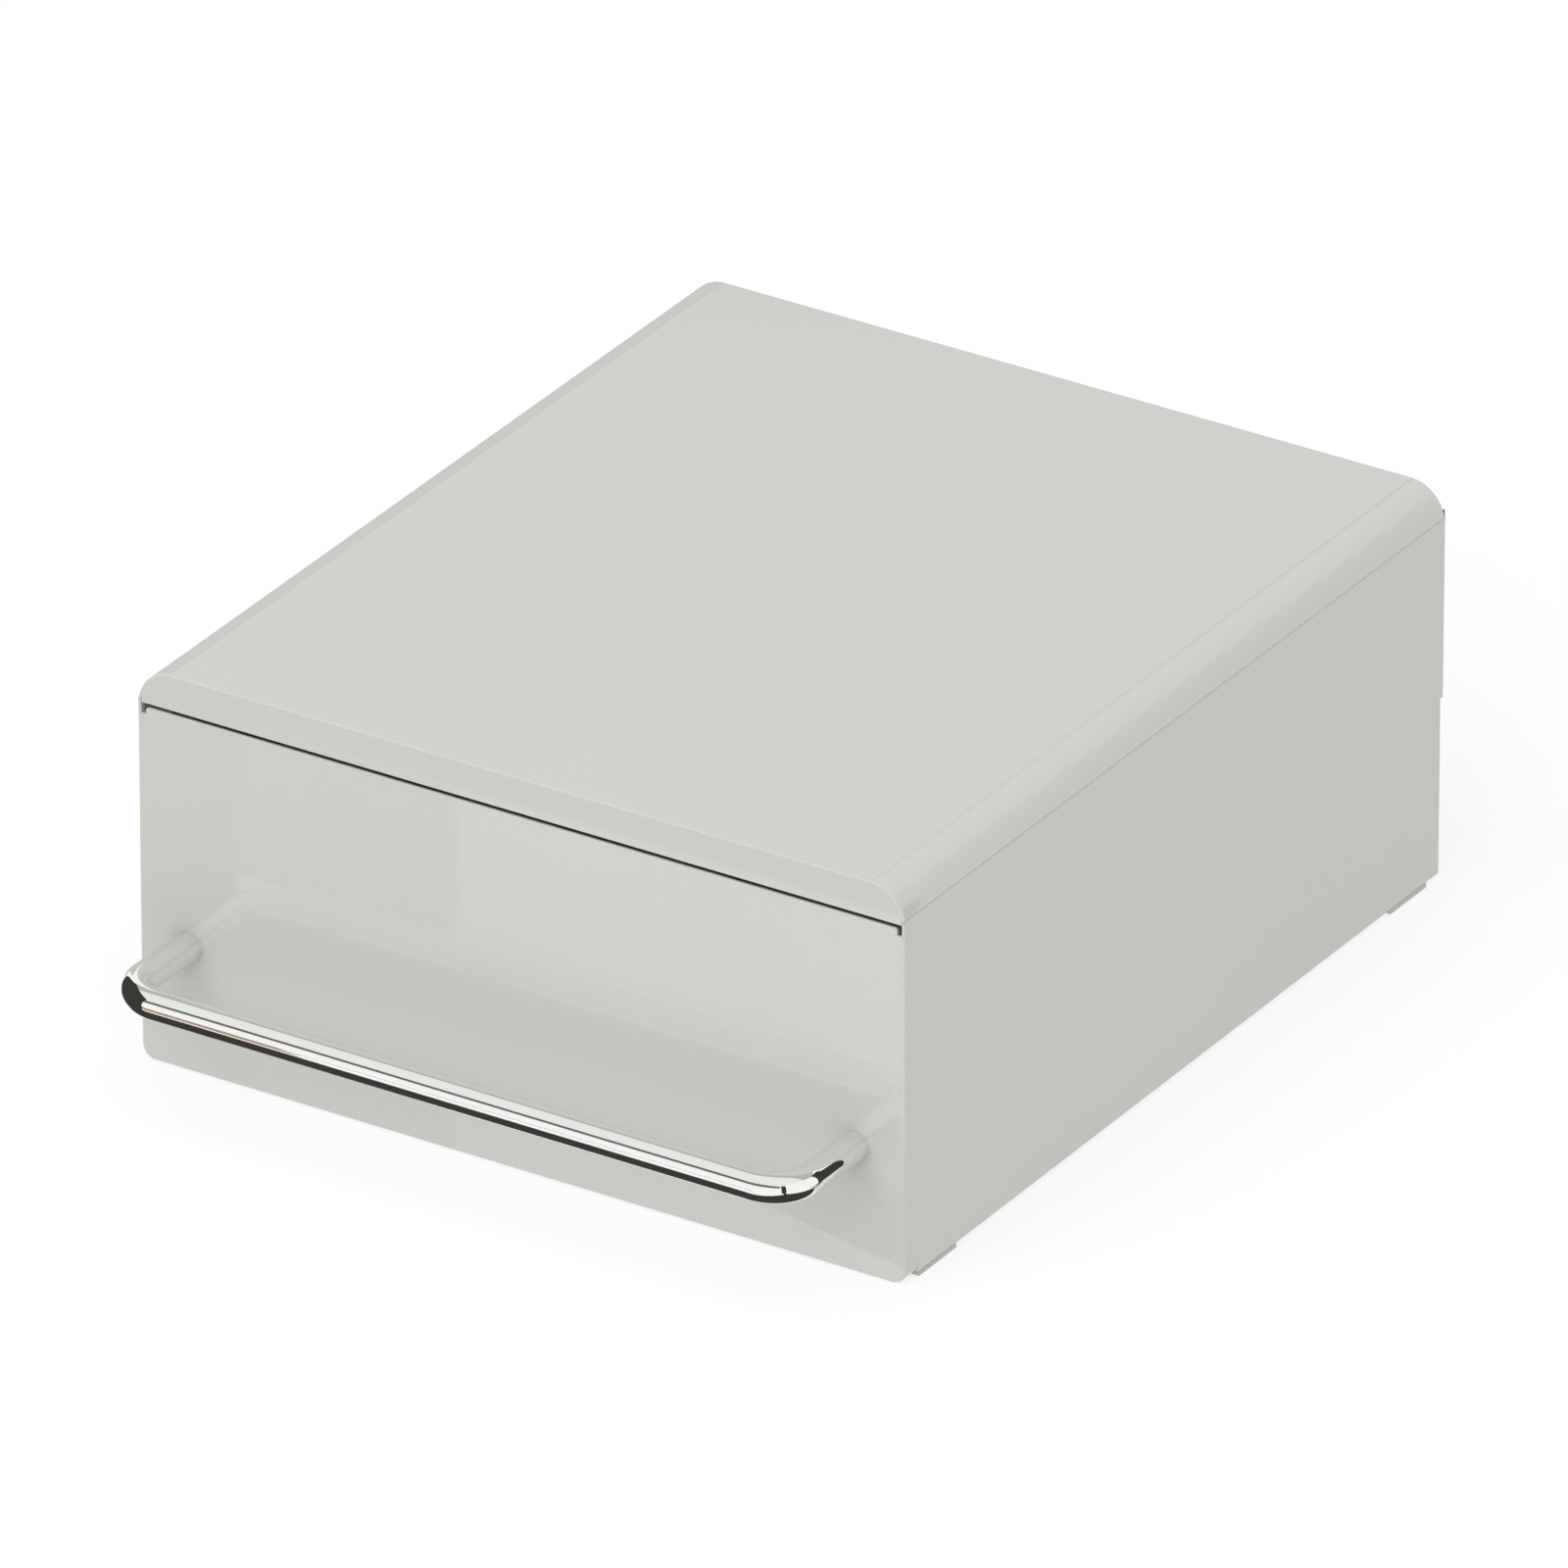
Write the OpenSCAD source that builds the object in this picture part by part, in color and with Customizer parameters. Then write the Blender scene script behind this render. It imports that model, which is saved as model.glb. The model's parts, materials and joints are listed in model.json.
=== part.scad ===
// Stackable drawer box: a casing of slotted and screwed plastic panels, and one pull-out drawer
// whose glossy front covers the whole mouth of the casing and carries a bent rod handle.
// Axes: +X to the right as seen from the front, +Y to the back, +Z up.
// Origin: on the floor, in the middle of the whole box with its handle.
// The drawer slides along -Y.

/* [Casing] */
// Width over the side panels
casing_width = 220; // [180:0.5:280]
// Depth from the front face to the rear edge, without the handle
casing_depth = 251.5; // [205:0.5:310]
// Height from the floor to the top
casing_height = 108.5; // [90:0.5:150]
// Wall thickness of the casing's panels
casing_wall = 2.4; // [2:0.1:3]
// Radius of the long shoulders of the top cover
shoulder_radius = 9.4; // [7.8:0.1:11.5]
// Height of the top cover's sides, down to the seam
cover_side_height = 8.5; // [7:0.1:10.5]
// Height of the fascia above the drawer front
fascia_height = 9.8; // [8:0.1:12]
// Thickness of the fascia
fascia_thickness = 2.6; // [2:0.1:3.2]
// Height over the floor of the step in the rear edges
rear_step_height = 50; // [40:0.5:60]
// Depth of that step
rear_step_depth = 1.2; // [0.8:0.1:1.5]
// Height of the shadow line under the top cover
seam_reveal = 0.35; // [0.2:0.05:0.5]
// Thickness of the ribs under the top cover and the base
rib_thickness = 1.5; // [1.2:0.1:2]

/* [Feet] */
// Height of the feet under the side panels
foot_height = 1.4; // [1:0.1:2.5]
// Length of a foot along the side
foot_length = 17; // [14:0.1:22]
// Width of a foot across the box
foot_width = 22; // [19:0.5:24]
// Distance from the back of the drawer front to the front feet
foot_front_inset = 0.6; // [0.4:0.1:3]
// Distance from the rear edge to the rear feet
foot_rear_inset = 7.2; // [5:0.1:10]
// Radius of the plugs that hold a foot
foot_plug_radius = 2.6; // [2:0.1:3.2]

/* [Drawer front] */
// Thickness of the drawer front
front_thickness = 6.4; // [6:0.1:9]
// Thickness of its glossy face
front_face_thickness = 2.6; // [2:0.1:3.1]
// Thickness of the wall round its back
front_rim_thickness = 2.2; // [1.8:0.1:3]
// Height of its lower edge over the floor
front_floor_gap = 0.4; // [0.3:0.1:1]
// Gap between its top edge and the fascia
front_top_gap = 1.1; // [0.8:0.1:1.5]
// Gap between its back and the casing when shut
front_shut_gap = 0.05; // [0.05:0.05:0.5]
// Gap between the casing's ears and the notches in its top edge
front_notch_gap = 0.3; // [0.2:0.1:0.6]
// Radius of its lower corners
front_corner_radius = 3.5; // [2:0.1:5]
// Radius of the corners beside the notches in its top edge
front_notch_radius = 0.8; // [0.5:0.1:1]
// Width of the casing's ear beside each end of the gap
ear_width = 0.8; // [0.6:0.1:1.2]
// Length of that ear below the fascia
ear_drop = 2.7; // [2:0.1:4]
// Width of the slot between the ear and the drawer front
ear_slot = 1.4; // [1:0.1:2]

/* [Handle] */
// Diameter of the handle rod
rod_diameter = 8; // [6:0.1:10]
// Distance from the side of the box to the middle of a handle leg
handle_margin = 14; // [12:0.5:20]
// Distance from the drawer front to the middle of the rod
handle_reach = 30; // [24:0.5:40]
// Radius of the rod's two bends, to the middle of the rod
handle_bend_radius = 10; // [7:0.5:14]
// Height of the rod over the lower edge of the drawer front
handle_height = 35; // [28:0.5:42]

/* [Drawer tub] */
// Wall thickness of the tub
tub_wall = 2; // [1.6:0.1:2.6]
// Thickness of the tub's front wall
tub_front_wall = 2.4; // [2:0.1:3]
// Height of the underside of the tub over the beam of the base panel
tub_floor_gap = 1.2; // [1:0.1:3]
// Radius of the tub's upright corners, outside
tub_corner_radius = 8; // [5:0.5:12]
// Width of the flange along each side of the tub
tub_flange_width = 5; // [4.1:0.1:6]
// Thickness of that flange
tub_flange_thickness = 3; // [2.4:0.1:3.6]
// Gap between the flange and the mouth of the casing
tub_side_gap = 1.3; // [1:0.1:2]
// Gap between the tub's back and the back panel
tub_rear_gap = 5; // [4:0.5:8]
// Depth of tub that stays in the casing when the drawer is fully open
tub_overlap = 48.3; // [40:0.1:70]

/* [Runners] */
// Height of a runner
runner_height = 3.7; // [3:0.1:5]
// Gap between a runner and the flange that slides on it
runner_gap = 0.15; // [0.1:0.05:0.3]
// Height of the guide lip beside the flange
runner_lip_height = 4; // [3:0.1:4.4]
// Height of the seats that hold a runner off the side panel
runner_seat_height = 2; // [1.5:0.1:2.2]
// Radius of a runner's pegs
peg_radius = 2; // [1.5:0.1:2.5]

/* [Fasteners] */
// Shank radius of the self-tapping screws
screw_radius = 1.25; // [1.2:0.05:1.4]
// Head radius of the self-tapping screws
screw_head_radius = 2.9; // [2.5:0.1:3]
// Head height of the self-tapping screws
screw_head_height = 2.2; // [1.6:0.1:2.4]
// Shank radius of the handle screws
handle_screw_radius = 1.95; // [1.5:0.05:2.2]
// Head radius of the handle screws
handle_head_radius = 3.8; // [3.2:0.1:4.2]
// Radial clearance of every screw, peg and plug in its hole
fit_clearance = 0.05; // [0.03:0.01:0.1]

/* [Hidden] */
$fn = 48;

// Colours
shell_colour = [0.83, 0.82, 0.80];
inner_colour = [0.78, 0.77, 0.74];
soft_colour = [0.70, 0.69, 0.66];
runner_colour = [0.88, 0.88, 0.86];
chrome_colour = [0.75, 0.76, 0.78];
zinc_colour = [0.62, 0.63, 0.65];

// How far a cutting shape reaches past what it cuts
cut = 1;
// How far the joined shapes of one piece run into each other
merge = 0.5;
// Gap between panels that slot together
slot_gap = 0.1;
// Gap round the back panel, the base and the ribs
assembly_gap = 0.2;
// Radial clearance of a screw in a hole that it only passes through
loose_clearance = 4 * fit_clearance;
// How much deeper a blind hole is than what it takes
bore_reserve = 0.3;

// Planes from front to back
handle_out = handle_reach + rod_diameter / 2;
front_y = (handle_out - casing_depth) / 2;
back_y = front_y + casing_depth;
middle_y = (front_y + back_y) / 2;
panel_front_y = front_y + front_thickness + front_shut_gap;
back_recess = 0.4;
back_face_y = back_y - rear_step_depth - back_recess;
back_panel_front_y = back_face_y - casing_wall;

// Planes from side to side
half_width = casing_width / 2;
inner_half = half_width - casing_wall;
mouth_return = 3.3;
mouth_half = inner_half - mouth_return;
flange_half = mouth_half - tub_side_gap;
tub_half = flange_half - tub_flange_width;

// Levels
seam_z = casing_height - cover_side_height;
ceiling_z = casing_height - casing_wall;
fascia_bottom_z = casing_height - fascia_height;
front_top_z = fascia_bottom_z - front_top_gap;
front_bottom_z = front_floor_gap;
ear_bottom_z = fascia_bottom_z - ear_drop;
notch_z = ear_bottom_z - front_notch_gap;
handle_z = front_bottom_z + handle_height;
panel_bottom_z = foot_height;
shadow_line_depth = 0.45;

// Shelf along the foot of each side panel, with the groove that holds the base panel
shelf_thickness = 2;
shelf_half = half_width - foot_width;
base_thickness = 2;
base_bottom_z = panel_bottom_z + shelf_thickness + slot_gap;
base_top_z = base_bottom_z + base_thickness;
ledge_bottom_z = base_top_z + slot_gap;
ledge_thickness = 1.4;
ledge_width = 4;
ledge_top_z = ledge_bottom_z + ledge_thickness;
base_beam_thickness = 2.4;

// Flange along the head of each side panel, screwed to the top cover from below
head_flange_width = 11.6;
head_flange_bottom_z = seam_z - casing_wall;
head_flange_half = inner_half - head_flange_width;
boss_radius = 3.2;
boss_side_gap = 0.3;

// Tongue on that flange, which stands just inside the round shoulder of the cover
tongue_thickness = 1.4;
tongue_height = 3;
tongue_side_gap = 0.5;
tongue_top_rise = seam_z + tongue_height - (casing_height - shoulder_radius);
shoulder_inner_radius = shoulder_radius - casing_wall;
tongue_top_reach = sqrt(pow(shoulder_inner_radius, 2) - pow(tongue_top_rise, 2));
tongue_outer_x = half_width - shoulder_radius + tongue_top_reach - tongue_side_gap;
tongue_inner_x = tongue_outer_x - tongue_thickness;

// Screws of the top cover
cover_screw_x = tongue_inner_x - boss_side_gap - boss_radius;
cover_screw_inset = 26;
cover_screw_ys = [front_y + cover_screw_inset, middle_y, back_y - cover_screw_inset];
cover_screw_length = 7;
cover_rib_count = 4;

// Tub
stop_head_gap = 0.4;
stop_tab_height = 4;
stop_tab_length = 4;
stop_gap = 0.2;
stop_block_length = 4;
stop_inset = 1;
stop_tab_top_z = head_flange_bottom_z - screw_head_height - stop_head_gap;
tub_top_z = stop_tab_top_z - stop_tab_height;
tub_flange_bottom_z = tub_top_z - tub_flange_thickness;
tub_bottom_z = ledge_top_z + tub_floor_gap;
tub_front_y = front_y + front_thickness;
tub_rear_y = back_panel_front_y - tub_rear_gap;
stop_tab_front_y = tub_rear_y - stop_tab_length;
stop_face_y = front_y + tub_overlap;
drawer_travel = stop_tab_front_y - stop_face_y - stop_gap;
skid_height = 0.8;
skid_width = 3;

// Runners
runner_top_z = tub_flange_bottom_z - runner_gap;
runner_bottom_z = runner_top_z - runner_height;
runner_outer_x = inner_half - runner_seat_height;
runner_tub_gap = 1;
runner_lip_gap = 0.6;
runner_inner_x = tub_half + runner_tub_gap;
runner_lip_x = flange_half + runner_lip_gap;
runner_end_gap = 0.6;
runner_front_y = panel_front_y + casing_wall + runner_end_gap;
runner_rear_y = back_panel_front_y - runner_end_gap;
peg_length = 3;
peg_inset = 20;
peg_ys = [runner_front_y + peg_inset, (runner_front_y + runner_rear_y) / 2, runner_rear_y - peg_inset];
peg_z = (runner_top_z + runner_bottom_z) / 2;
seat_rim = 2;
seat_radius = runner_height / 2 + seat_rim;

// Screws of the back panel
back_screw_x = inner_half - boss_radius + merge / 2;
back_boss_length = 11;
back_screw_length = 10;
back_screw_lift = 5;
back_screw_drop = 8;
back_screw_zs = [
  ledge_top_z + boss_radius + back_screw_lift,
  runner_bottom_z - boss_radius - back_screw_drop
];
back_counterbore = 1.2;
back_tongue_thickness = 1.2;

// Buffers that the tub meets when it shuts
buffer_x = 60;
buffer_z = (tub_bottom_z + tub_top_z) / 2;
buffer_head_radius = 4.5;
buffer_plug_radius = 2.5;
buffer_gap = 0.2;

// Drawer front
front_cavity_half = half_width - ear_width - ear_slot - front_rim_thickness;
front_cavity_bottom_z = front_bottom_z + front_rim_thickness + front_corner_radius / 2;
front_cavity_top_z = front_top_z - front_rim_thickness;
front_rib_gap = 0.6;
front_rib_spacing = 42;
front_rib_count = floor(2 * front_cavity_half / front_rib_spacing);
handle_leg_x = half_width - handle_margin;
front_screw_x = handle_leg_x - 26;
front_screw_lift = 14;
front_screw_drop = 12;
front_screw_zs = [tub_bottom_z + front_screw_lift, tub_top_z - front_screw_drop];
front_screw_length = 6;
front_screw_depth = front_screw_length + bore_reserve;
handle_pad_radius = 7;
washer_thickness = 0.8;
washer_radius = 4.5;
handle_head_height = 2.4;
handle_screw_length = 9;
handle_bore_depth = handle_screw_length - washer_thickness - front_face_thickness + 2 * bore_reserve;

// Feet
foot_plug_height = shelf_thickness - slot_gap;
foot_plug_end = 4;
foot_plug_spacing = foot_length - 2 * foot_plug_end;
foot_plug_x = half_width - foot_width / 2;

// Ribs under the base panel
base_long_ribs = 5;
base_cross_ribs = 4;

// A box from one corner to the opposite one
module block(low, high) {
  translate(low) cube(high - low);
}

// The children, and their mirror image on the left side
module both_sides() {
  children();
  mirror([1, 0, 0]) children();
}

// A round rod along Y, from y0 to y1
module rod_y(x, z, y0, y1, radius) {
  translate([x, y0, z]) rotate([-90, 0, 0]) cylinder(r = radius, h = y1 - y0);
}

// A round rod along Z, from z0 to z1
module rod_z(x, y, z0, z1, radius) {
  translate([x, y, z0]) cylinder(r = radius, h = z1 - z0);
}

// A rectangle centred on X, from y = bottom to y = top, with its corners rounded
module rounded_rectangle(half, bottom, top, radius) {
  union() {
    translate([-half + radius, bottom]) square([2 * (half - radius), top - bottom]);
    translate([-half, bottom + radius]) square([2 * half, top - bottom - 2 * radius]);
    for (x = [-half + radius, half - radius], y = [bottom + radius, top - radius])
      translate([x, y]) circle(r = radius);
  }
}

// A shape drawn in X and Z, extruded along Y from y0 to y1
module along_y(y0, y1) {
  translate([0, y1, 0]) rotate([90, 0, 0]) linear_extrude(height = y1 - y0) children();
}

// Section of the casing: upright sides, and a flat top with round shoulders
module casing_section(inset) {
  radius = shoulder_radius - inset;
  half = half_width - inset;
  top = casing_height - inset;
  union() {
    translate([-half, 0]) square([2 * half, top - radius]);
    translate([-half + radius, 0]) square([2 * (half - radius), top]);
    for (side = [-1, 1])
      translate([side * (half - radius), top - radius]) circle(r = radius);
  }
}

// A pan-head screw: the head's seat lies at z = 0, the shank points along +Z
module pan_screw(shank_radius, shank_length, head_radius, head_height) {
  rim_height = 0.55 * head_height;
  crown_radius = 0.7 * head_radius;
  recess_width = 0.32 * head_radius;
  recess_reach = 0.6 * head_radius;
  recess_depth = 0.55 * head_height;
  difference() {
    union() {
      cylinder(r = shank_radius, h = shank_length);
      translate([0, 0, -rim_height]) cylinder(r = head_radius, h = rim_height);
      translate([0, 0, -head_height])
        cylinder(r1 = crown_radius, r2 = head_radius, h = head_height - rim_height);
    }
    for (turn = [0, 90])
      rotate([0, 0, turn])
        translate([-recess_reach, -recess_width / 2, -head_height - cut])
          cube([2 * recess_reach, recess_width, recess_depth + cut]);
  }
}

// Top cover: a shallow shell with the fascia along its front edge
module top_cover() {
  color(shell_colour) difference() {
    union() {
      difference() {
        along_y(front_y, back_y) casing_section(0);
        block([-half_width - cut, front_y - cut, -cut],
              [half_width + cut, back_y + cut, seam_z]);
        cover_cavity();
      }
      cover_fascia();
      cover_ribs();
      both_sides() for (y = cover_screw_ys)
        rod_z(cover_screw_x, y, seam_z, ceiling_z, boss_radius);
    }
    both_sides() for (y = cover_screw_ys)
      rod_z(cover_screw_x, y, seam_z - cut, head_flange_bottom_z + cover_screw_length + slot_gap,
            screw_radius + fit_clearance);
  }
}

// The hollow under the top cover
module cover_cavity() {
  intersection() {
    along_y(front_y + fascia_thickness, back_y - casing_wall) casing_section(casing_wall);
    block([-half_width, front_y, seam_z - cut], [half_width, back_y, ceiling_z]);
  }
}

// The fascia's lower edge, between the ears, and the beam behind it
module cover_fascia() {
  fascia_half = half_width - ear_width - slot_gap;
  beam_half = inner_half - casing_wall;
  block([-fascia_half, front_y, fascia_bottom_z],
        [fascia_half, front_y + fascia_thickness, seam_z + merge]);
  block([-beam_half, panel_front_y - casing_wall, fascia_bottom_z],
        [beam_half, panel_front_y - slot_gap, ceiling_z + merge]);
}

// Stiffening ribs under the top cover
module cover_ribs() {
  rib_half = cover_screw_x - boss_radius;
  rib_bottom_z = seam_z + assembly_gap;
  rib_spacing = (back_y - panel_front_y) / (cover_rib_count + 1);
  for (index = [1:cover_rib_count])
    translate([0, panel_front_y + index * rib_spacing, 0])
      block([-rib_half, -rib_thickness / 2, rib_bottom_z],
            [rib_half, rib_thickness / 2, ceiling_z + merge]);
  for (x = [-rib_half / 3, rib_half / 3])
    block([x - rib_thickness / 2, panel_front_y - casing_wall, rib_bottom_z],
          [x + rib_thickness / 2, back_panel_front_y - assembly_gap, ceiling_z + merge]);
}

// Side panel on the right, with all that is moulded on its inner face
module side_panel() {
  difference() {
    union() {
      side_plate();
      side_ear();
      side_mouth_return();
      side_shelf();
      side_head_flange();
      side_back_bosses();
      side_runner_seats();
      side_stop_block();
    }
    for (y = cover_screw_ys)
      rod_z(cover_screw_x, y, head_flange_bottom_z - cut, seam_z + cut, screw_radius + loose_clearance);
    for (z = back_screw_zs)
      rod_y(back_screw_x, z, back_panel_front_y - back_screw_length, back_panel_front_y + cut,
            screw_radius + fit_clearance);
    for (y = peg_ys)
      translate([runner_outer_x - cut, y, peg_z]) rotate([0, 90, 0])
        cylinder(r = peg_radius + fit_clearance, h = peg_length + slot_gap + cut);
    for (y = foot_plug_ys())
      rod_z(foot_plug_x, y, panel_bottom_z - cut, base_bottom_z + slot_gap,
            foot_plug_radius + fit_clearance);
  }
}

// The plate, with its shadow line at the top and the step in its rear edge
module side_plate() {
  difference() {
    intersection() {
      along_y(panel_front_y, back_y) casing_section(0);
      block([inner_half, panel_front_y, panel_bottom_z], [half_width, back_y, seam_z]);
    }
    shadow_line();
    block([inner_half - cut, back_y - rear_step_depth, panel_bottom_z - cut],
          [half_width + cut, back_y + cut, rear_step_height]);
  }
}

// The groove that makes the shadow line under the top cover
module shadow_line() {
  block([half_width - shadow_line_depth, front_y - cut, seam_z - seam_reveal],
        [half_width + cut, back_y + cut, seam_z + cut]);
}

// The thin ear that closes the end of the gap over the drawer front
module side_ear() {
  difference() {
    intersection() {
      along_y(front_y, panel_front_y + merge) casing_section(0);
      block([half_width - ear_width, front_y, ear_bottom_z], [half_width, panel_front_y + merge, seam_z]);
    }
    shadow_line();
  }
}

// The return along the front edge
module side_mouth_return() {
  block([mouth_half, panel_front_y, ledge_top_z],
        [inner_half + merge, panel_front_y + casing_wall, seam_z]);
}

// The shelf and the ledge between which the base panel slides
module side_shelf() {
  block([shelf_half, panel_front_y, panel_bottom_z],
        [inner_half + merge, back_panel_front_y - assembly_gap, panel_bottom_z + shelf_thickness]);
  block([inner_half - ledge_width, panel_front_y, ledge_bottom_z],
        [inner_half + merge, back_panel_front_y - assembly_gap, ledge_top_z]);
}

// The flange that the top cover is screwed to, and the tongue that centres the cover
module side_head_flange() {
  block([head_flange_half, panel_front_y, head_flange_bottom_z],
        [inner_half + merge, back_panel_front_y - assembly_gap, seam_z]);
  block([tongue_inner_x, panel_front_y + casing_wall, head_flange_bottom_z],
        [tongue_outer_x, back_panel_front_y - 2 * casing_wall, seam_z + tongue_height]);
}

// The bosses that take the back panel's screws
module side_back_bosses() {
  for (z = back_screw_zs)
    rod_y(back_screw_x, z, back_panel_front_y - back_boss_length, back_panel_front_y - slot_gap,
          boss_radius);
}

// The round seats that the runner is pegged to
module side_runner_seats() {
  for (y = peg_ys)
    translate([runner_outer_x, y, peg_z]) rotate([0, 90, 0])
      cylinder(r = seat_radius, h = runner_seat_height + casing_wall / 2);
}

// The block that ends the drawer's travel
module side_stop_block() {
  block([tub_half + stop_inset, stop_face_y - stop_block_length, tub_top_z + stop_head_gap],
        [flange_half, stop_face_y, head_flange_bottom_z + merge]);
}

// Places of the feet and of their plugs along the side
function foot_ys() = [tub_front_y + foot_front_inset, back_y - foot_rear_inset - foot_length];
function foot_plug_ys() = [
  for (y = foot_ys(), step = [-1, 1]) y + foot_length / 2 + step * foot_plug_spacing / 2
];

module side_panel_right() {
  color(shell_colour) side_panel();
}

module side_panel_left() {
  color(shell_colour) mirror([1, 0, 0]) side_panel();
}

// Back panel: a plate with a tongue that reaches up behind the top cover's rear wall
module back_panel() {
  panel_half = inner_half - assembly_gap;
  tongue_half = half_width - shoulder_radius - casing_wall;
  color(shell_colour) difference() {
    union() {
      block([-panel_half, back_panel_front_y, panel_bottom_z],
            [panel_half, back_face_y, seam_z - assembly_gap]);
      block([-tongue_half, back_panel_front_y, seam_z - casing_wall],
            [tongue_half, back_panel_front_y + back_tongue_thickness, seam_z + tongue_height]);
    }
    both_sides() for (z = back_screw_zs) {
      rod_y(back_screw_x, z, back_panel_front_y - cut, back_face_y + cut, screw_radius + loose_clearance);
      rod_y(back_screw_x, z, back_face_y - back_counterbore, back_face_y + cut,
            screw_head_radius + loose_clearance);
    }
    both_sides() rod_y(buffer_x, buffer_z, back_panel_front_y - cut, back_face_y + cut,
                       buffer_plug_radius + fit_clearance);
  }
}

// Base panel: a plate in the grooves of the side panels, with ribs under it
module base_panel() {
  plate_half = inner_half - assembly_gap;
  between_half = shelf_half - assembly_gap;
  plate_front_y = panel_front_y + assembly_gap;
  plate_rear_y = back_panel_front_y - assembly_gap;
  long_spacing = 2 * between_half / base_long_ribs;
  cross_spacing = (plate_rear_y - plate_front_y) / (base_cross_ribs + 1);
  color(inner_colour) union() {
    block([-plate_half, plate_front_y, base_bottom_z], [plate_half, plate_rear_y, base_top_z]);
    block([-between_half, plate_front_y, panel_bottom_z],
          [between_half, plate_front_y + base_beam_thickness, ledge_top_z]);
    for (index = [1:base_long_ribs])
      translate([(index - (base_long_ribs + 1) / 2) * long_spacing, 0, 0])
        block([-rib_thickness / 2, plate_front_y, panel_bottom_z + assembly_gap],
              [rib_thickness / 2, plate_rear_y, base_top_z]);
    for (index = [1:base_cross_ribs])
      translate([0, plate_front_y + index * cross_spacing, 0])
        block([-between_half, -rib_thickness / 2, panel_bottom_z + assembly_gap],
              [between_half, rib_thickness / 2, base_top_z]);
  }
}

// Runner on the right: a rail under the tub's flange, with a lip that guides its edge
module runner() {
  block([runner_inner_x, runner_front_y, runner_bottom_z], [runner_outer_x, runner_rear_y, runner_top_z]);
  block([runner_lip_x, runner_front_y, runner_bottom_z],
        [runner_outer_x, runner_rear_y, runner_top_z + runner_lip_height]);
  for (y = peg_ys)
    translate([runner_outer_x - cut, y, peg_z]) rotate([0, 90, 0])
      cylinder(r = peg_radius, h = peg_length + cut);
}

module runner_right() {
  color(runner_colour) runner();
}

module runner_left() {
  color(runner_colour) mirror([1, 0, 0]) runner();
}

// A foot under the right side panel, held by two plugs
module foot(y) {
  middle = y + foot_length / 2;
  union() {
    block([half_width - foot_width, y, 0], [half_width, y + foot_length, foot_height]);
    for (step = [-1, 1])
      rod_z(foot_plug_x, middle + step * foot_plug_spacing / 2, foot_height / 2,
            foot_height + foot_plug_height, foot_plug_radius);
  }
}

module foot_front_right() {
  color(soft_colour) foot(foot_ys()[0]);
}

module foot_rear_right() {
  color(soft_colour) foot(foot_ys()[1]);
}

module foot_front_left() {
  color(soft_colour) mirror([1, 0, 0]) foot(foot_ys()[0]);
}

module foot_rear_left() {
  color(soft_colour) mirror([1, 0, 0]) foot(foot_ys()[1]);
}

// A soft buffer, plugged into the back panel
module buffer() {
  union() {
    rod_y(buffer_x, buffer_z, tub_rear_y + buffer_gap, back_panel_front_y, buffer_head_radius);
    rod_y(buffer_x, buffer_z, back_panel_front_y - merge, back_face_y, buffer_plug_radius);
  }
}

module buffer_right() {
  color(soft_colour) buffer();
}

module buffer_left() {
  color(soft_colour) mirror([1, 0, 0]) buffer();
}

// The screws that hold the top cover, driven up through the side panels' flanges
module top_cover_screws() {
  color(zinc_colour) both_sides() for (y = cover_screw_ys)
    translate([cover_screw_x, y, head_flange_bottom_z])
      pan_screw(screw_radius, cover_screw_length, screw_head_radius, screw_head_height);
}

// The screws that hold the back panel, driven forwards from behind
module back_panel_screws() {
  color(zinc_colour) both_sides() for (z = back_screw_zs)
    translate([back_screw_x, back_face_y - back_counterbore, z]) rotate([90, 0, 0])
      pan_screw(screw_radius, back_screw_length, screw_head_radius, screw_head_height);
}

// Drawer tub: an open box with a sliding flange along each side
module drawer_tub() {
  color(inner_colour) difference() {
    union() {
      translate([0, 0, tub_bottom_z]) linear_extrude(height = tub_top_z - tub_bottom_z)
        rounded_rectangle(tub_half, tub_front_y, tub_rear_y, tub_corner_radius);
      tub_front_plate();
      both_sides() tub_flange();
      both_sides() tub_stop_tab();
      tub_skids();
    }
    translate([0, 0, tub_bottom_z + tub_wall]) linear_extrude(height = tub_top_z - tub_bottom_z)
      rounded_rectangle(tub_half - tub_wall, tub_front_y + tub_front_wall, tub_rear_y - tub_wall,
                        tub_corner_radius - tub_wall);
    both_sides() for (z = front_screw_zs)
      rod_y(front_screw_x, z, tub_front_y - cut, tub_front_y + tub_front_wall + cut,
            screw_radius + loose_clearance);
  }
}

// The flat plate across the front of the tub, which the drawer front is screwed to
module tub_front_plate() {
  block([-tub_half, tub_front_y, tub_bottom_z], [tub_half, tub_front_y + tub_front_wall, tub_top_z]);
}

// The flange that slides on the runner
module tub_flange() {
  block([tub_half - tub_wall / 2, tub_front_y, tub_flange_bottom_z],
        [flange_half, tub_rear_y - tub_corner_radius, tub_top_z]);
  block([tub_half - tub_corner_radius, tub_rear_y - tub_corner_radius, tub_flange_bottom_z],
        [flange_half, tub_rear_y, tub_top_z]);
}

// The tab that meets the stop block when the drawer is fully open
module tub_stop_tab() {
  block([tub_half + stop_inset, stop_tab_front_y, tub_flange_bottom_z],
        [flange_half, tub_rear_y, stop_tab_top_z]);
}

// The skids under the tub
module tub_skids() {
  for (x = [-tub_half / 2, tub_half / 2])
    block([x - skid_width / 2, tub_front_y + tub_corner_radius, tub_bottom_z - skid_height],
          [x + skid_width / 2, tub_rear_y - tub_corner_radius, tub_bottom_z + tub_wall / 2]);
}

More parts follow.
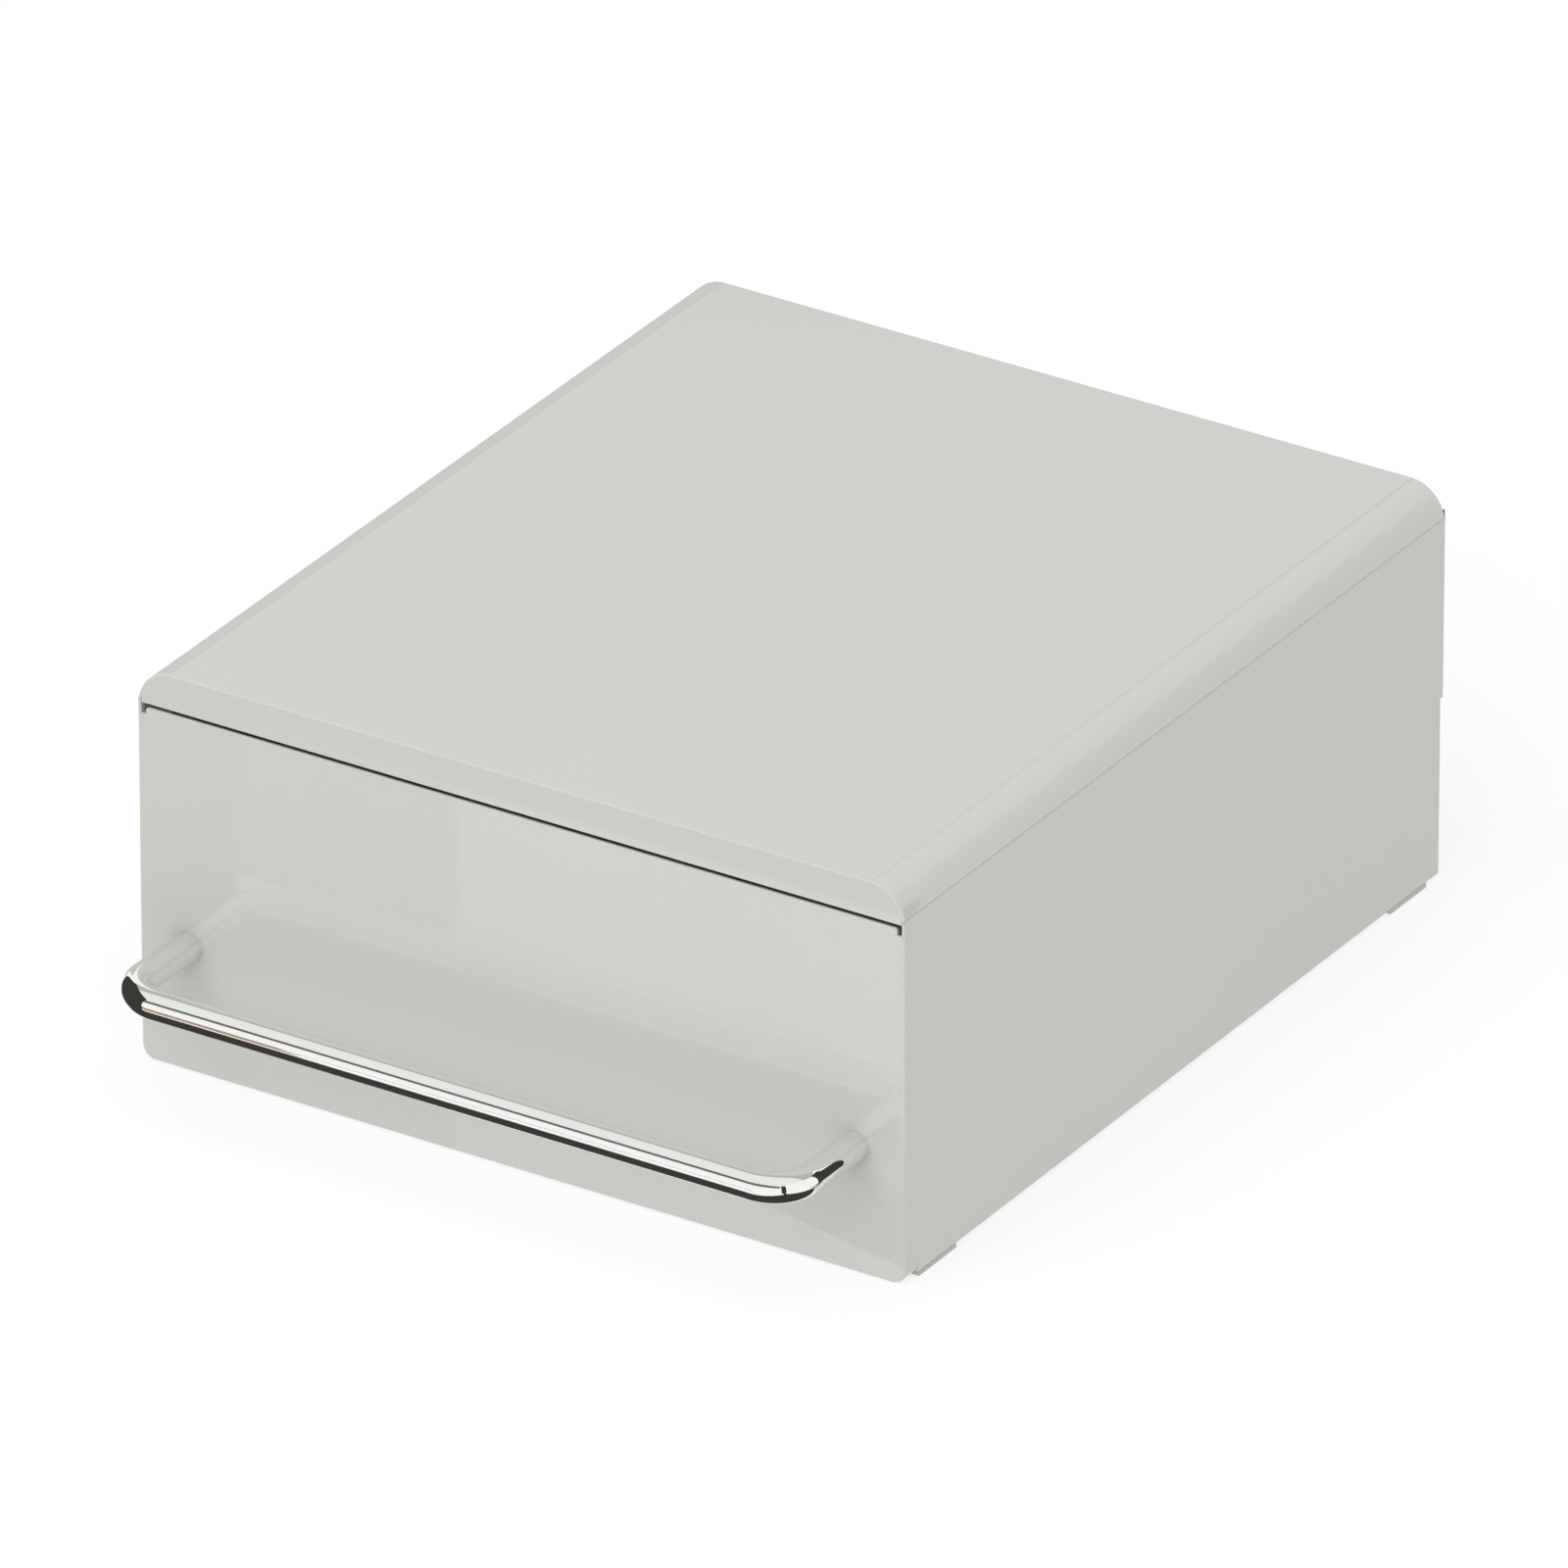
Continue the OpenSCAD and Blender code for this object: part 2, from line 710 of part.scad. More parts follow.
// Outline of the drawer front: round lower corners, and a notch at each upper corner
module front_outline() {
  tongue_half = half_width - ear_width - ear_slot;
  radius = front_corner_radius;
  body_height = notch_z - front_bottom_z;
  union() {
    translate([-half_width + radius, front_bottom_z]) square([2 * (half_width - radius), body_height]);
    translate([-half_width, front_bottom_z + radius]) square([2 * half_width, body_height - radius]);
    for (x = [-half_width + radius, half_width - radius])
      translate([x, front_bottom_z + radius]) circle(r = radius);
    rounded_rectangle(tongue_half, notch_z - 2 * front_notch_radius, front_top_z, front_notch_radius);
  }
}

// Drawer front: a glossy face, a wall round its back, ribs and bosses
module drawer_front() {
  inner_y = front_y + front_face_thickness;
  rear_y = front_y + front_thickness;
  color(shell_colour) difference() {
    union() {
      difference() {
        along_y(front_y, rear_y) front_outline();
        block([-front_cavity_half, inner_y, front_cavity_bottom_z],
              [front_cavity_half, rear_y + cut, front_cavity_top_z]);
      }
      front_ribs(inner_y, rear_y - front_rib_gap);
      both_sides() for (z = front_screw_zs)
        rod_y(front_screw_x, z, inner_y - merge, rear_y, boss_radius);
    }
    both_sides() for (z = front_screw_zs)
      rod_y(front_screw_x, z, tub_front_y + tub_front_wall - front_screw_depth, rear_y + cut,
            screw_radius + fit_clearance);
    both_sides() {
      rod_y(handle_leg_x, handle_z, inner_y, rear_y + cut, handle_pad_radius);
      rod_y(handle_leg_x, handle_z, front_y - cut, inner_y + cut, handle_screw_radius + loose_clearance);
    }
  }
}

// Stiffening ribs in the back of the drawer front
module front_ribs(y0, y1) {
  spacing = 2 * front_cavity_half / (front_rib_count + 1);
  middle_z = (front_cavity_bottom_z + front_cavity_top_z) / 2;
  for (index = [1:front_rib_count])
    translate([index * spacing - front_cavity_half, 0, 0])
      block([-rib_thickness / 2, y0 - merge, front_cavity_bottom_z - merge],
            [rib_thickness / 2, y1, front_cavity_top_z + merge]);
  block([-front_cavity_half - merge, y0 - merge, middle_z - rib_thickness / 2],
        [front_cavity_half + merge, y1, middle_z + rib_thickness / 2]);
}

// The screws that hold the drawer front, driven from inside the tub
module drawer_front_screws() {
  color(zinc_colour) both_sides() for (z = front_screw_zs)
    translate([front_screw_x, tub_front_y + tub_front_wall, z]) rotate([90, 0, 0])
      pan_screw(screw_radius, front_screw_length, screw_head_radius, screw_head_height);
}

// Handle: one round rod, bent at both ends, with a tapped hole in each leg
module handle_bar() {
  straight_y = front_y - handle_reach + handle_bend_radius;
  straight_half = handle_leg_x - handle_bend_radius;
  color(chrome_colour) difference() {
    union() {
      both_sides() {
        rod_y(handle_leg_x, handle_z, straight_y, front_y, rod_diameter / 2);
        translate([straight_half, straight_y, handle_z]) rotate([0, 0, -90])
          rotate_extrude(angle = 90) translate([handle_bend_radius, 0]) circle(d = rod_diameter);
      }
      translate([-straight_half, front_y - handle_reach, handle_z]) rotate([0, 90, 0])
        cylinder(d = rod_diameter, h = 2 * straight_half);
    }
    both_sides() rod_y(handle_leg_x, handle_z, front_y - handle_bore_depth, front_y + cut,
                       handle_screw_radius + fit_clearance);
  }
}

// The washers under the heads of the handle screws
module handle_washers() {
  washer_y = front_y + front_face_thickness;
  color(zinc_colour) both_sides() difference() {
    rod_y(handle_leg_x, handle_z, washer_y, washer_y + washer_thickness, washer_radius);
    rod_y(handle_leg_x, handle_z, washer_y - cut, washer_y + washer_thickness + cut,
          handle_screw_radius + loose_clearance);
  }
}

// The screws that hold the handle, driven from the back of the drawer front
module handle_screws() {
  seat_y = front_y + front_face_thickness + washer_thickness;
  color(zinc_colour) both_sides()
    translate([handle_leg_x, seat_y, handle_z]) rotate([90, 0, 0])
      pan_screw(handle_screw_radius, handle_screw_length, handle_head_radius, handle_head_height);
}

top_cover();
side_panel_left();
side_panel_right();
back_panel();
base_panel();
runner_left();
runner_right();
foot_front_left();
foot_front_right();
foot_rear_left();
foot_rear_right();
buffer_left();
buffer_right();
top_cover_screws();
back_panel_screws();
drawer_tub();
drawer_front();
drawer_front_screws();
handle_bar();
handle_washers();
handle_screws();
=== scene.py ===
"""The looks of a stackable drawer box: a casing of slotted plastic panels and one drawer behind a glossy front.

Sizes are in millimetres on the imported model's axes: X to the right, Y to the back, Z up from the floor.
Meshes are built in millimetres as well, and are turned into metres when a piece is finished.
"""

import sys
import json
import logging
import math
from collections.abc import Callable, Iterator, Sequence
from contextlib import contextmanager
from dataclasses import dataclass, fields, replace
from enum import Enum
from typing import ClassVar

import bmesh
import bpy
from mathutils import Matrix, Vector

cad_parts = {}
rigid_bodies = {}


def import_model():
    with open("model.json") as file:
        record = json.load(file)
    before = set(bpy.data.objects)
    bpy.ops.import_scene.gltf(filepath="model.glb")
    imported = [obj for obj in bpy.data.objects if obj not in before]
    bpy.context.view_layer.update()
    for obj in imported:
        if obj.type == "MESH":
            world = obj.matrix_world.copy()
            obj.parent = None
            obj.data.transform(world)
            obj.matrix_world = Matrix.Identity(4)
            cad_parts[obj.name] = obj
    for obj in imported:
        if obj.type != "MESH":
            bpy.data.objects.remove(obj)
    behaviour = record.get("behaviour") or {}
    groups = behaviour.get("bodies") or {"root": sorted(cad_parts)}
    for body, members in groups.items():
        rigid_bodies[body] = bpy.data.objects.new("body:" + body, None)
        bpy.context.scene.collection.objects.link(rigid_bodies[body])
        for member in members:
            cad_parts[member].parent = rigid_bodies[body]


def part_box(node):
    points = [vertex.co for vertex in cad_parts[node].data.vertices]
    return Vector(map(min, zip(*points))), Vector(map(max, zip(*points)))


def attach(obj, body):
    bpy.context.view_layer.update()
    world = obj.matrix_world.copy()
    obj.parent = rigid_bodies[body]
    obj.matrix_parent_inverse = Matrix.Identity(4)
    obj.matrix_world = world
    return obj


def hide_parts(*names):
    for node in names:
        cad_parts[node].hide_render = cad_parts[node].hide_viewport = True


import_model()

MM = 0.001
FULL = 1.0
WHITE = (1.0, 1.0, 1.0, 1.0)
SHALLOW_TURN = 0.3
DOUBLES_APART = 0.0005
FLAT_ANGLE, ROUNDED_ANGLE, SHARP_ANGLE = (math.radians(turn) for turn in (0.5, 30, 50))
NORMAL_WEIGHT = 80
log = logging.getLogger("drawer_box")

Mesh = bpy.types.Mesh
Socket = bpy.types.NodeSocket
Tree = bpy.types.NodeTree
Flat = tuple[float, float]
Place = tuple[float, float, float]
Colour = tuple[float, float, float, float]
EdgeRule = Callable[[Vector], float]


class Body(Enum):
    """The two bodies of the box."""

    CASING = "casing"
    DRAWER = "drawer"


class Slot(Enum):
    """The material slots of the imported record."""

    SHELL = "shell"
    FRONT = "front"
    INNER = "inner"
    RUNNER = "runner"
    FOOT = "foot"
    HANDLE = "handle"
    ZINC = "zinc"


class Side(Enum):
    """Which side of the box a piece is on."""

    RIGHT = 1
    LEFT = -1

    @property
    def word(self) -> str:
        """The side, as the names of pieces have it."""
        return self.name.lower()


class Work(Enum):
    """How one solid is worked into another."""

    JOIN = "UNION"
    CUT = "DIFFERENCE"


class Along(Enum):
    """The axis that an outline is drawn out along."""

    X = 0
    Y = 1
    Z = 2

    def place(self, point: Flat, level: float) -> Place:
        """The point of an outline, at a level on this axis."""
        places = {Along.X: (level, *point), Along.Y: (point[0], level, point[1]), Along.Z: (*point, level)}
        return places[self]


@dataclass(frozen=True)
class Label:
    """What a finished piece is called, and which node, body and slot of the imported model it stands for."""

    name: str
    node: str
    body: Body
    slot: Slot

    def at(self, word: str) -> "Label":
        """The same label for one of several places."""
        return replace(self, name=f"{self.name}_{word}", node=f"{self.node}_{word}")


# ---------------------------------------------------------------------------------------------------- outlines


def on_both_sides(x: float, levels: Sequence[float]) -> list[Flat]:
    """Places at a distance from the middle, at each level, on the right and then on the left."""
    return [(side.value * x, level) for side in Side for level in levels]


def rectangle(low: Flat, high: Flat) -> list[Flat]:
    """The corners of a rectangle, anticlockwise from its lowest one."""
    return [low, (high[0], low[1]), high, (low[0], high[1])]


def arc(centre: Flat, radius: float, start: float, end: float, steps: int) -> list[Flat]:
    """Points along an arc.

    Args:
        centre: The arc's centre.
        radius: Its radius.
        start: Where it starts, in degrees.
        end: Where it ends, in degrees.
        steps: How many straight steps it is made of.

    Returns:
        The points, both ends included.
    """
    turns = [math.radians(start + (end - start) * k / steps) for k in range(steps + 1)]
    return [(centre[0] + radius * math.cos(t), centre[1] + radius * math.sin(t)) for t in turns]


def rounded_outline(half: float, low: float, high: float, radius: float, steps: int) -> list[Flat]:
    """A rectangle centred on the first axis, with four round corners.

    Args:
        half: Half of its width.
        low: Its lower edge.
        high: Its upper edge.
        radius: The radius of its corners.
        steps: How many steps a corner has.

    Returns:
        The outline, anticlockwise.
    """
    side, bottom, top = half - radius, low + radius, high - radius
    corners = [((side, bottom), -90), ((side, top), 0), ((-side, top), 90), ((-side, bottom), 180)]
    return [p for centre, turn in corners for p in arc(centre, radius, turn, turn + 90, steps)]


def inset(outline: Sequence[Flat], distances: Sequence[float]) -> list[Flat]:
    """Moves the sides of an anticlockwise outline inwards.

    Args:
        outline: The outline.
        distances: How far each side moves, from the side between its first two points on.

    Returns:
        The smaller outline, with as many points.
    """

    def outward(a: Flat, b: Flat) -> Flat:
        """The outward normal of the side from a to b."""
        length = math.hypot(b[0] - a[0], b[1] - a[1])
        return (b[1] - a[1]) / length, (a[0] - b[0]) / length

    moved = []
    for i, here in enumerate(outline):
        a, b = outward(outline[i - 1], here), outward(here, outline[(i + 1) % len(outline)])
        before, after = distances[i - 1], distances[i]
        turn = a[0] * b[1] - a[1] * b[0]
        if before == after or abs(turn) < SHALLOW_TURN:
            reach = (before + after) / 2 / (1 + a[0] * b[0] + a[1] * b[1])
            moved.append((here[0] - (a[0] + b[0]) * reach, here[1] - (a[1] + b[1]) * reach))
        else:
            x, y = (before * b[1] - after * a[1]) / turn, (after * a[0] - before * b[0]) / turn
            moved.append((here[0] - x, here[1] - y))
    return moved


# ------------------------------------------------------------------------------------------------------ solids


class Solid:
    """A closed shape in millimetres."""

    def __init__(self) -> None:
        """Starts with nothing."""
        self.bm = bmesh.new()

    @classmethod
    def skin(cls, rings: Sequence[Sequence[Place]]) -> "Solid":
        """A closed skin through rings, with a flat cap at each end.

        Args:
            rings: Rings of equally many points, in order.

        Returns:
            The solid.
        """
        solid = cls()
        made = [[solid.bm.verts.new(p) for p in ring] for ring in rings]
        faces = [solid.bm.faces.new(made[0]), solid.bm.faces.new(made[-1])]
        for near, far in zip(made, made[1:]):
            for i in range(len(near)):
                faces.append(solid.bm.faces.new((near[i - 1], near[i], far[i], far[i - 1])))
        bmesh.ops.recalc_face_normals(solid.bm, faces=faces)
        return solid

    @classmethod
    def slab(
        cls,
        outline: Sequence[Flat],
        along: Along,
        start: float,
        end: float,
        round_start: float | Sequence[float] = 0.0,
        round_end: float | Sequence[float] = 0.0,
        steps: int = 4,
    ) -> "Solid":
        """An outline drawn out along an axis, with its two rims rounded.

        Args:
            outline: The outline, anticlockwise.
            along: The axis.
            start: Where the slab starts on it.
            end: Where it ends.
            round_start: Radius of the first rim, or one for each side of the outline.
            round_end: Radius of the last rim, or one for each side.
            steps: How many steps a round rim has.

        Returns:
            The solid.
        """
        rings = []
        for level, rounding, sign in ((start, round_start, 1), (end, round_end, -1)):
            radii = [rounding] * len(outline) if isinstance(rounding, float) else list(rounding)
            turns = [math.pi / 2 * k / steps for k in range(steps + 1)] if max(radii) else [math.pi / 2]
            rim = []
            for turn in turns:
                points = inset(outline, [radius * (1 - math.sin(turn)) for radius in radii])
                depths = [(radii[i - 1] + radii[i]) / 2 * (1 - math.cos(turn)) for i in range(len(radii))]
                rim.append([along.place(p, level + sign * depth) for p, depth in zip(points, depths)])
            rings += rim if sign > 0 else rim[::-1]
        return cls.skin(rings)

    @classmethod
    def block(cls, low: Place, high: Place) -> "Solid":
        """A box from one corner to the opposite one."""
        return cls.slab(rectangle(low[:2], high[:2]), Along.Z, low[2], high[2])

    @classmethod
    def rod(cls, along: Along, centre: Flat, start: float, end: float, radius: float, steps: int = 32) -> "Solid":
        """A round rod along an axis, round a centre on the other two axes."""
        return cls.slab(arc(centre, radius, 0, 360 * (1 - 1 / steps), steps - 1), along, start, end)

    def mesh(self) -> Mesh:
        """The solid as a mesh. The solid is used up.

        Returns:
            The mesh.
        """
        made = bpy.data.meshes.new("solid")
        self.bm.to_mesh(made)
        self.bm.free()
        return made


@contextmanager
def edited(mesh: Mesh) -> Iterator[bmesh.types.BMesh]:
    """Opens a mesh for changes, and writes them back.

    Args:
        mesh: The mesh.

    Yields:
        Its editable copy.
    """
    bm = bmesh.new()
    bm.from_mesh(mesh)
    yield bm
    bm.to_mesh(mesh)
    bm.free()


class Bench:
    """Works meshes into each other, rounds their edges and turns them into finished pieces."""

    @staticmethod
    def lay_out(mesh: Mesh) -> bpy.types.Object:
        """A helper object that holds the mesh while it is worked on.

        Args:
            mesh: The mesh.

        Returns:
            The object.
        """
        helper = bpy.data.objects.new("work", mesh)
        bpy.context.scene.collection.objects.link(helper)
        return helper

    @staticmethod
    def take_up(helper: bpy.types.Object) -> Mesh:
        """Takes the worked mesh off a helper object.

        Args:
            helper: The object, with its modifiers.

        Returns:
            The plain mesh that the modifiers give. The helper is removed.
        """
        graph = bpy.context.evaluated_depsgraph_get()
        made = bpy.data.meshes.new_from_object(helper.evaluated_get(graph), depsgraph=graph)
        bpy.data.objects.remove(helper)
        return made

    @staticmethod
    def worked(base: Solid, *steps: tuple[Work, Sequence[Solid]]) -> Mesh:
        """Joins and cuts solids in order.

        Args:
            base: The solid to start from.
            steps: What is done, and the solids it is done with.

        Returns:
            The mesh, with its flat faces made whole again.
        """
        helper = Bench.lay_out(base.mesh())
        groups = []
        for work, solids in steps:
            group = bpy.data.collections.new("tools")
            bpy.context.scene.collection.children.link(group)
            for solid in solids:
                group.objects.link(bpy.data.objects.new("tool", solid.mesh()))
            change = helper.modifiers.new(work.name, "BOOLEAN")
            change.operation, change.solver = work.value, "EXACT"
            change.operand_type, change.collection = "COLLECTION", group
            groups.append(group)
        made = Bench.take_up(helper)
        for group in groups:
            for tool in list(group.objects):
                bpy.data.objects.remove(tool)
            bpy.data.collections.remove(group)
        with edited(made) as bm:
            bmesh.ops.remove_doubles(bm, verts=bm.verts, dist=DOUBLES_APART)
            bmesh.ops.dissolve_limit(
                bm, angle_limit=FLAT_ANGLE, verts=bm.verts, edges=bm.edges, use_dissolve_boundaries=False
            )
        return made

    @staticmethod
    def softened(mesh: Mesh, rule: EdgeRule | float, steps: int = 2) -> Mesh:
        """Rounds the sharp edges of a mesh.

        Args:
            mesh: The mesh, in millimetres.
            rule: The radius, or a rule that gives an edge's radius from its middle.
            steps: How many steps a round edge has.

        Returns:
            The rounded mesh.
        """
        widths: dict[int, float] = {}
        with edited(mesh) as bm:
            for edge in bm.edges:
                if len(edge.link_faces) != 2 or edge.calc_face_angle(0.0) < ROUNDED_ANGLE:
                    continue
                a, b = (v.co for v in edge.verts)
                widths[edge.index] = rule if isinstance(rule, float) else rule((a + b) / 2)
            widest = max(widths.values(), default=0.0)
            if widest > 0:
                weight = bm.edges.layers.float.new("bevel_weight_edge")
                for edge in bm.edges:
                    edge[weight] = widths.get(edge.index, 0.0) / widest
        helper = Bench.lay_out(mesh)
        if widest > 0:
            round_off = helper.modifiers.new("round_off", "BEVEL")
            round_off.limit_method, round_off.width, round_off.segments = "WEIGHT", widest, steps
            round_off.use_clamp_overlap, round_off.loop_slide = False, False
        return Bench.take_up(helper)

    @staticmethod
    def mirror(mesh: Mesh) -> None:
        """Turns a mesh into its mirror image on the other side of the box.

        Args:
            mesh: The mesh.
        """
        with edited(mesh) as bm:
            for vert in bm.verts:
                vert.co.x = -vert.co.x
            bmesh.ops.reverse_faces(bm, faces=bm.faces)

    @staticmethod
    def piece(mesh: Mesh, finish: "Finish", label: Label) -> None:
        """Turns a mesh into a finished piece of the box, and reports it.

        Args:
            mesh: The mesh, in millimetres.
            finish: The finish that it gets.
            label: What it is called, and what it stands for.
        """
        name, node, body, slot = label.name, label.node, label.body, label.slot
        mesh.transform(Matrix.Scale(MM, 4))
        mesh.name = name
        for polygon in mesh.polygons:
            polygon.use_smooth = True
        mesh.set_sharp_from_angle(angle=SHARP_ANGLE)
        helper = Bench.lay_out(mesh)
        even = helper.modifiers.new("even_normals", "WEIGHTED_NORMAL")
        even.keep_sharp, even.weight = True, NORMAL_WEIGHT
        made = Bench.take_up(helper)
        made.materials.clear()
        made.materials.append(finish.material())
        obj = bpy.data.objects.new(name, made)
        bpy.context.scene.collection.objects.link(obj)
        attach(obj, body.value)
        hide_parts(node)
        Bench.report(obj, *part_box(node))

    @staticmethod
    def report(obj: bpy.types.Object, low: Vector, high: Vector) -> None:
        """Reports a piece.

        Args:
            obj: The piece.
            low: Lowest corner of what it stands for.
            high: Highest corner of that.
        """
        obj.data.calc_loop_triangles()
        axes = list(zip(*(v.co for v in obj.data.vertices)))
        off = max(max(abs(min(axes[k]) - low[k]), abs(max(axes[k]) - high[k])) for k in range(3))
        bm = bmesh.new()
        bm.from_mesh(obj.data)
        log.info(
            "%-22s %6d triangles, %5.2f mm off its node's box, %d open edges, %.2f cm3",
            obj.name, len(obj.data.loop_triangles), off / MM, sum(not edge.is_manifold for edge in bm.edges),
            bm.calc_volume() * 1e6,
        )
        bm.free()


# ------------------------------------------------------------------------------------------------------- trees


class Canvas:
    """Places and links the nodes of one tree."""

    def __init__(self, tree: Tree) -> None:
        """Works on a tree."""
        self.tree = tree

    def node(self, kind: str, inputs: dict[str | int, object] | None = None, **settings: object) -> bpy.types.Node:
        """Adds a node.

        Args:
            kind: The node's type.
            inputs: What each input is set to, or the outputs that are linked to it.
            settings: The node's own settings.

        Returns:
            The node.
        """
        made = self.tree.nodes.new(kind)
        for name, value in settings.items():
            setattr(made, name, value)
        for key, value in (inputs or {}).items():
            for source in value if isinstance(value, list) else [value]:
                if isinstance(source, Socket):
                    self.tree.links.new(source, made.inputs[key])
                else:
                    made.inputs[key].default_value = source
        return made

    def sum(self, operation: str, *values: float | Socket) -> Socket:
        """The result of a Math node on the values."""
        return self.node("ShaderNodeMath", dict(enumerate(values)), operation=operation).outputs[0]

    def plus(self, a: float | Socket, b: float | Socket) -> Socket:
        """One value and another."""
        return self.sum("ADD", a, b)

    def minus(self, a: float | Socket, b: float | Socket) -> Socket:
        """One value less another."""
        return self.sum("SUBTRACT", a, b)

    def times(self, a: float | Socket, b: float | Socket) -> Socket:
        """One value times another."""
        return self.sum("MULTIPLY", a, b)

    def vector(self, x: object = 0.0, y: object = 0.0, z: object = 0.0) -> Socket:
        """A vector made of three numbers."""
        return self.node("ShaderNodeCombineXYZ", {0: x, 1: y, 2: z}).outputs[0]


class ShapeCanvas(Canvas):
    """A Geometry Nodes tree with named sizes, which ends in Realize Instances and Set Material."""

    def __init__(self, name: str, sizes: dict[str, float | int]) -> None:
        """Makes the tree.

        Args:
            name: The tree's name.
            sizes: The named inputs, with their usual values.
        """
        super().__init__(bpy.data.node_groups.new(name, "GeometryNodeTree"))
        sockets = self.tree.interface
        sockets.new_socket("Places", in_out="INPUT", socket_type="NodeSocketGeometry")
        sockets.new_socket("Shape", in_out="OUTPUT", socket_type="NodeSocketGeometry")
        sockets.new_socket("Finish", in_out="INPUT", socket_type="NodeSocketMaterial")
        for label, value in sizes.items():
            kind = "NodeSocketInt" if isinstance(value, int) else "NodeSocketFloat"
            sockets.new_socket(label, in_out="INPUT", socket_type=kind).default_value = value
        self.inlet = self.node("NodeGroupInput")
        self.sizes = [self.inlet.outputs[label] for label in sizes]

    def moved(self, shape: object, by: object, turn: object = (0.0, 0.0, 0.0)) -> Socket:
        """A shape, turned and moved."""
        return self.node("GeometryNodeTransform", {"Geometry": shape, "Translation": by, "Rotation": turn}).outputs[0]

    def cylinder(self, radius: object, depth: object, middle: object, sides: int) -> Socket:
        """An upright cylinder, whose middle is at a height on the axis."""
        made = self.node("GeometryNodeMeshCylinder", {"Vertices": sides, "Radius": radius, "Depth": depth})
        return self.moved(made.outputs["Mesh"], self.vector(z=middle))

    def cone(self, low: object, high: object, depth: object, bottom: object, sides: int = 40) -> Socket:
        """A cone from its bottom upwards, with one radius at each end."""
        inputs = {"Vertices": sides, "Radius Bottom": low, "Radius Top": high, "Depth": depth}
        return self.moved(self.node("GeometryNodeMeshCone", inputs).outputs["Mesh"], self.vector(z=bottom))

    def box(self, size: object, middle: object = (0.0, 0.0, 0.0)) -> Socket:
        """A box of a size, round its middle."""
        return self.moved(self.node("GeometryNodeMeshCube", {"Size": size}).outputs["Mesh"], middle)

    def swept(self, path: Socket, sides: int, radius: Socket) -> Socket:
        """A round section swept along a path, with its ends closed."""
        ring = self.node("GeometryNodeCurvePrimitiveCircle", {"Resolution": sides, "Radius": radius}).outputs[0]
        return self.node("GeometryNodeCurveToMesh", {0: path, "Profile Curve": ring, "Fill Caps": True}).outputs[0]

    def row(self, shape: Socket, count: object, start: Socket, step: Socket) -> Socket:
        """A shape at every point of a straight row."""
        line = self.node("GeometryNodeMeshLine", {"Count": count, "Start Location": start, "Offset": step}).outputs[0]
        return self.node("GeometryNodeInstanceOnPoints", {"Points": line, "Instance": shape}).outputs[0]

    def joined(self, *shapes: Socket) -> Socket:
        """Shapes worked into one closed skin."""
        return self.node("GeometryNodeMeshBoolean", {1: list(shapes)}, operation="UNION", solver="EXACT").outputs[0]

    def cut(self, shape: Socket, *tools: Socket) -> Socket:
        """A shape with the tools cut out of it."""
        inputs = {0: shape, 1: list(tools)}
        return self.node("GeometryNodeMeshBoolean", inputs, operation="DIFFERENCE", solver="EXACT").outputs[0]

    def finish(self, shape: Socket, repeated: bool) -> Tree:
        """Ends the tree.

        Args:
            shape: What the tree gives.
            repeated: Whether the shape stands at each of the marked places, turned along its drive.

        Returns:
            The finished tree.
        """
        if repeated:
            drive = self.node("GeometryNodeInputNamedAttribute", {"Name": "drive"}, data_type="FLOAT_VECTOR")
            turn = self.node("FunctionNodeAlignRotationToVector", {"Vector": drive.outputs[0]}, axis="Z")
            inputs = {"Points": self.inlet.outputs["Places"], "Instance": shape, "Rotation": turn.outputs[0]}
            shape = self.node("GeometryNodeInstanceOnPoints", inputs).outputs[0]
        real = self.node("GeometryNodeRealizeInstances", {0: shape})
        inputs = {"Geometry": real.outputs[0], "Material": self.inlet.outputs["Finish"]}
        self.node("NodeGroupOutput", {0: self.node("GeometryNodeSetMaterial", inputs).outputs[0]})
        return self.tree


@dataclass(frozen=True)
class Mark:
    """A place for a repeated fitting, and the direction that it is driven in."""

    place: Place = (0.0, 0.0, 0.0)
    drive: Place = (0.0, 0.0, 1.0)


@dataclass(frozen=True)
class Fitting:
    """A shape that Geometry Nodes make from named sizes, the fields of its class, in millimetres."""

    def draw(self, canvas: ShapeCanvas) -> Tree:
        """Draws the shape's tree on a canvas, and finishes it."""
        raise NotImplementedError

    def mesh(self, marks: Sequence[Mark], finish: "Finish | None" = None) -> Mesh:
        """Makes the fitting at every mark.

        Args:
            marks: The places.
            finish: The finish that the tree sets.

        Returns:
            One plain mesh, in millimetres.
        """
        title = type(self).__name__
        sizes = {f.name.replace("_", " ").title(): getattr(self, f.name) for f in fields(self)}
        tree = bpy.data.node_groups.get(title) or self.draw(ShapeCanvas(title, sizes))
        points = bpy.data.meshes.new("marks")
        points.from_pydata([m.place for m in marks], [], [])
        drives = points.attributes.new("drive", "FLOAT_VECTOR", "POINT")
        drives.data.foreach_set("vector", [x for m in marks for x in m.drive])
        helper = Bench.lay_out(points)
        grow = helper.modifiers.new("grow", "NODES")
        grow.node_group = tree
        values: dict[str, object] = {**sizes, "Finish": finish.material() if finish else None}
        for item in tree.interface.items_tree:
            if item.in_out == "INPUT" and values.get(item.name) is not None:
                grow[item.identifier] = values[item.name]
        helper.update_tag()
        return Bench.take_up(helper)

    def dress(
        self, label: Label, marks: Sequence[Mark], finish: "Finish", rule: EdgeRule | float = 0.0, steps: int = 3
    ) -> None:
        """Makes the fitting at every mark as one finished piece, with its edges rounded by a rule."""
        mesh = self.mesh(marks, finish)
        Bench.piece(Bench.softened(mesh, rule, steps) if rule else mesh, finish, label)


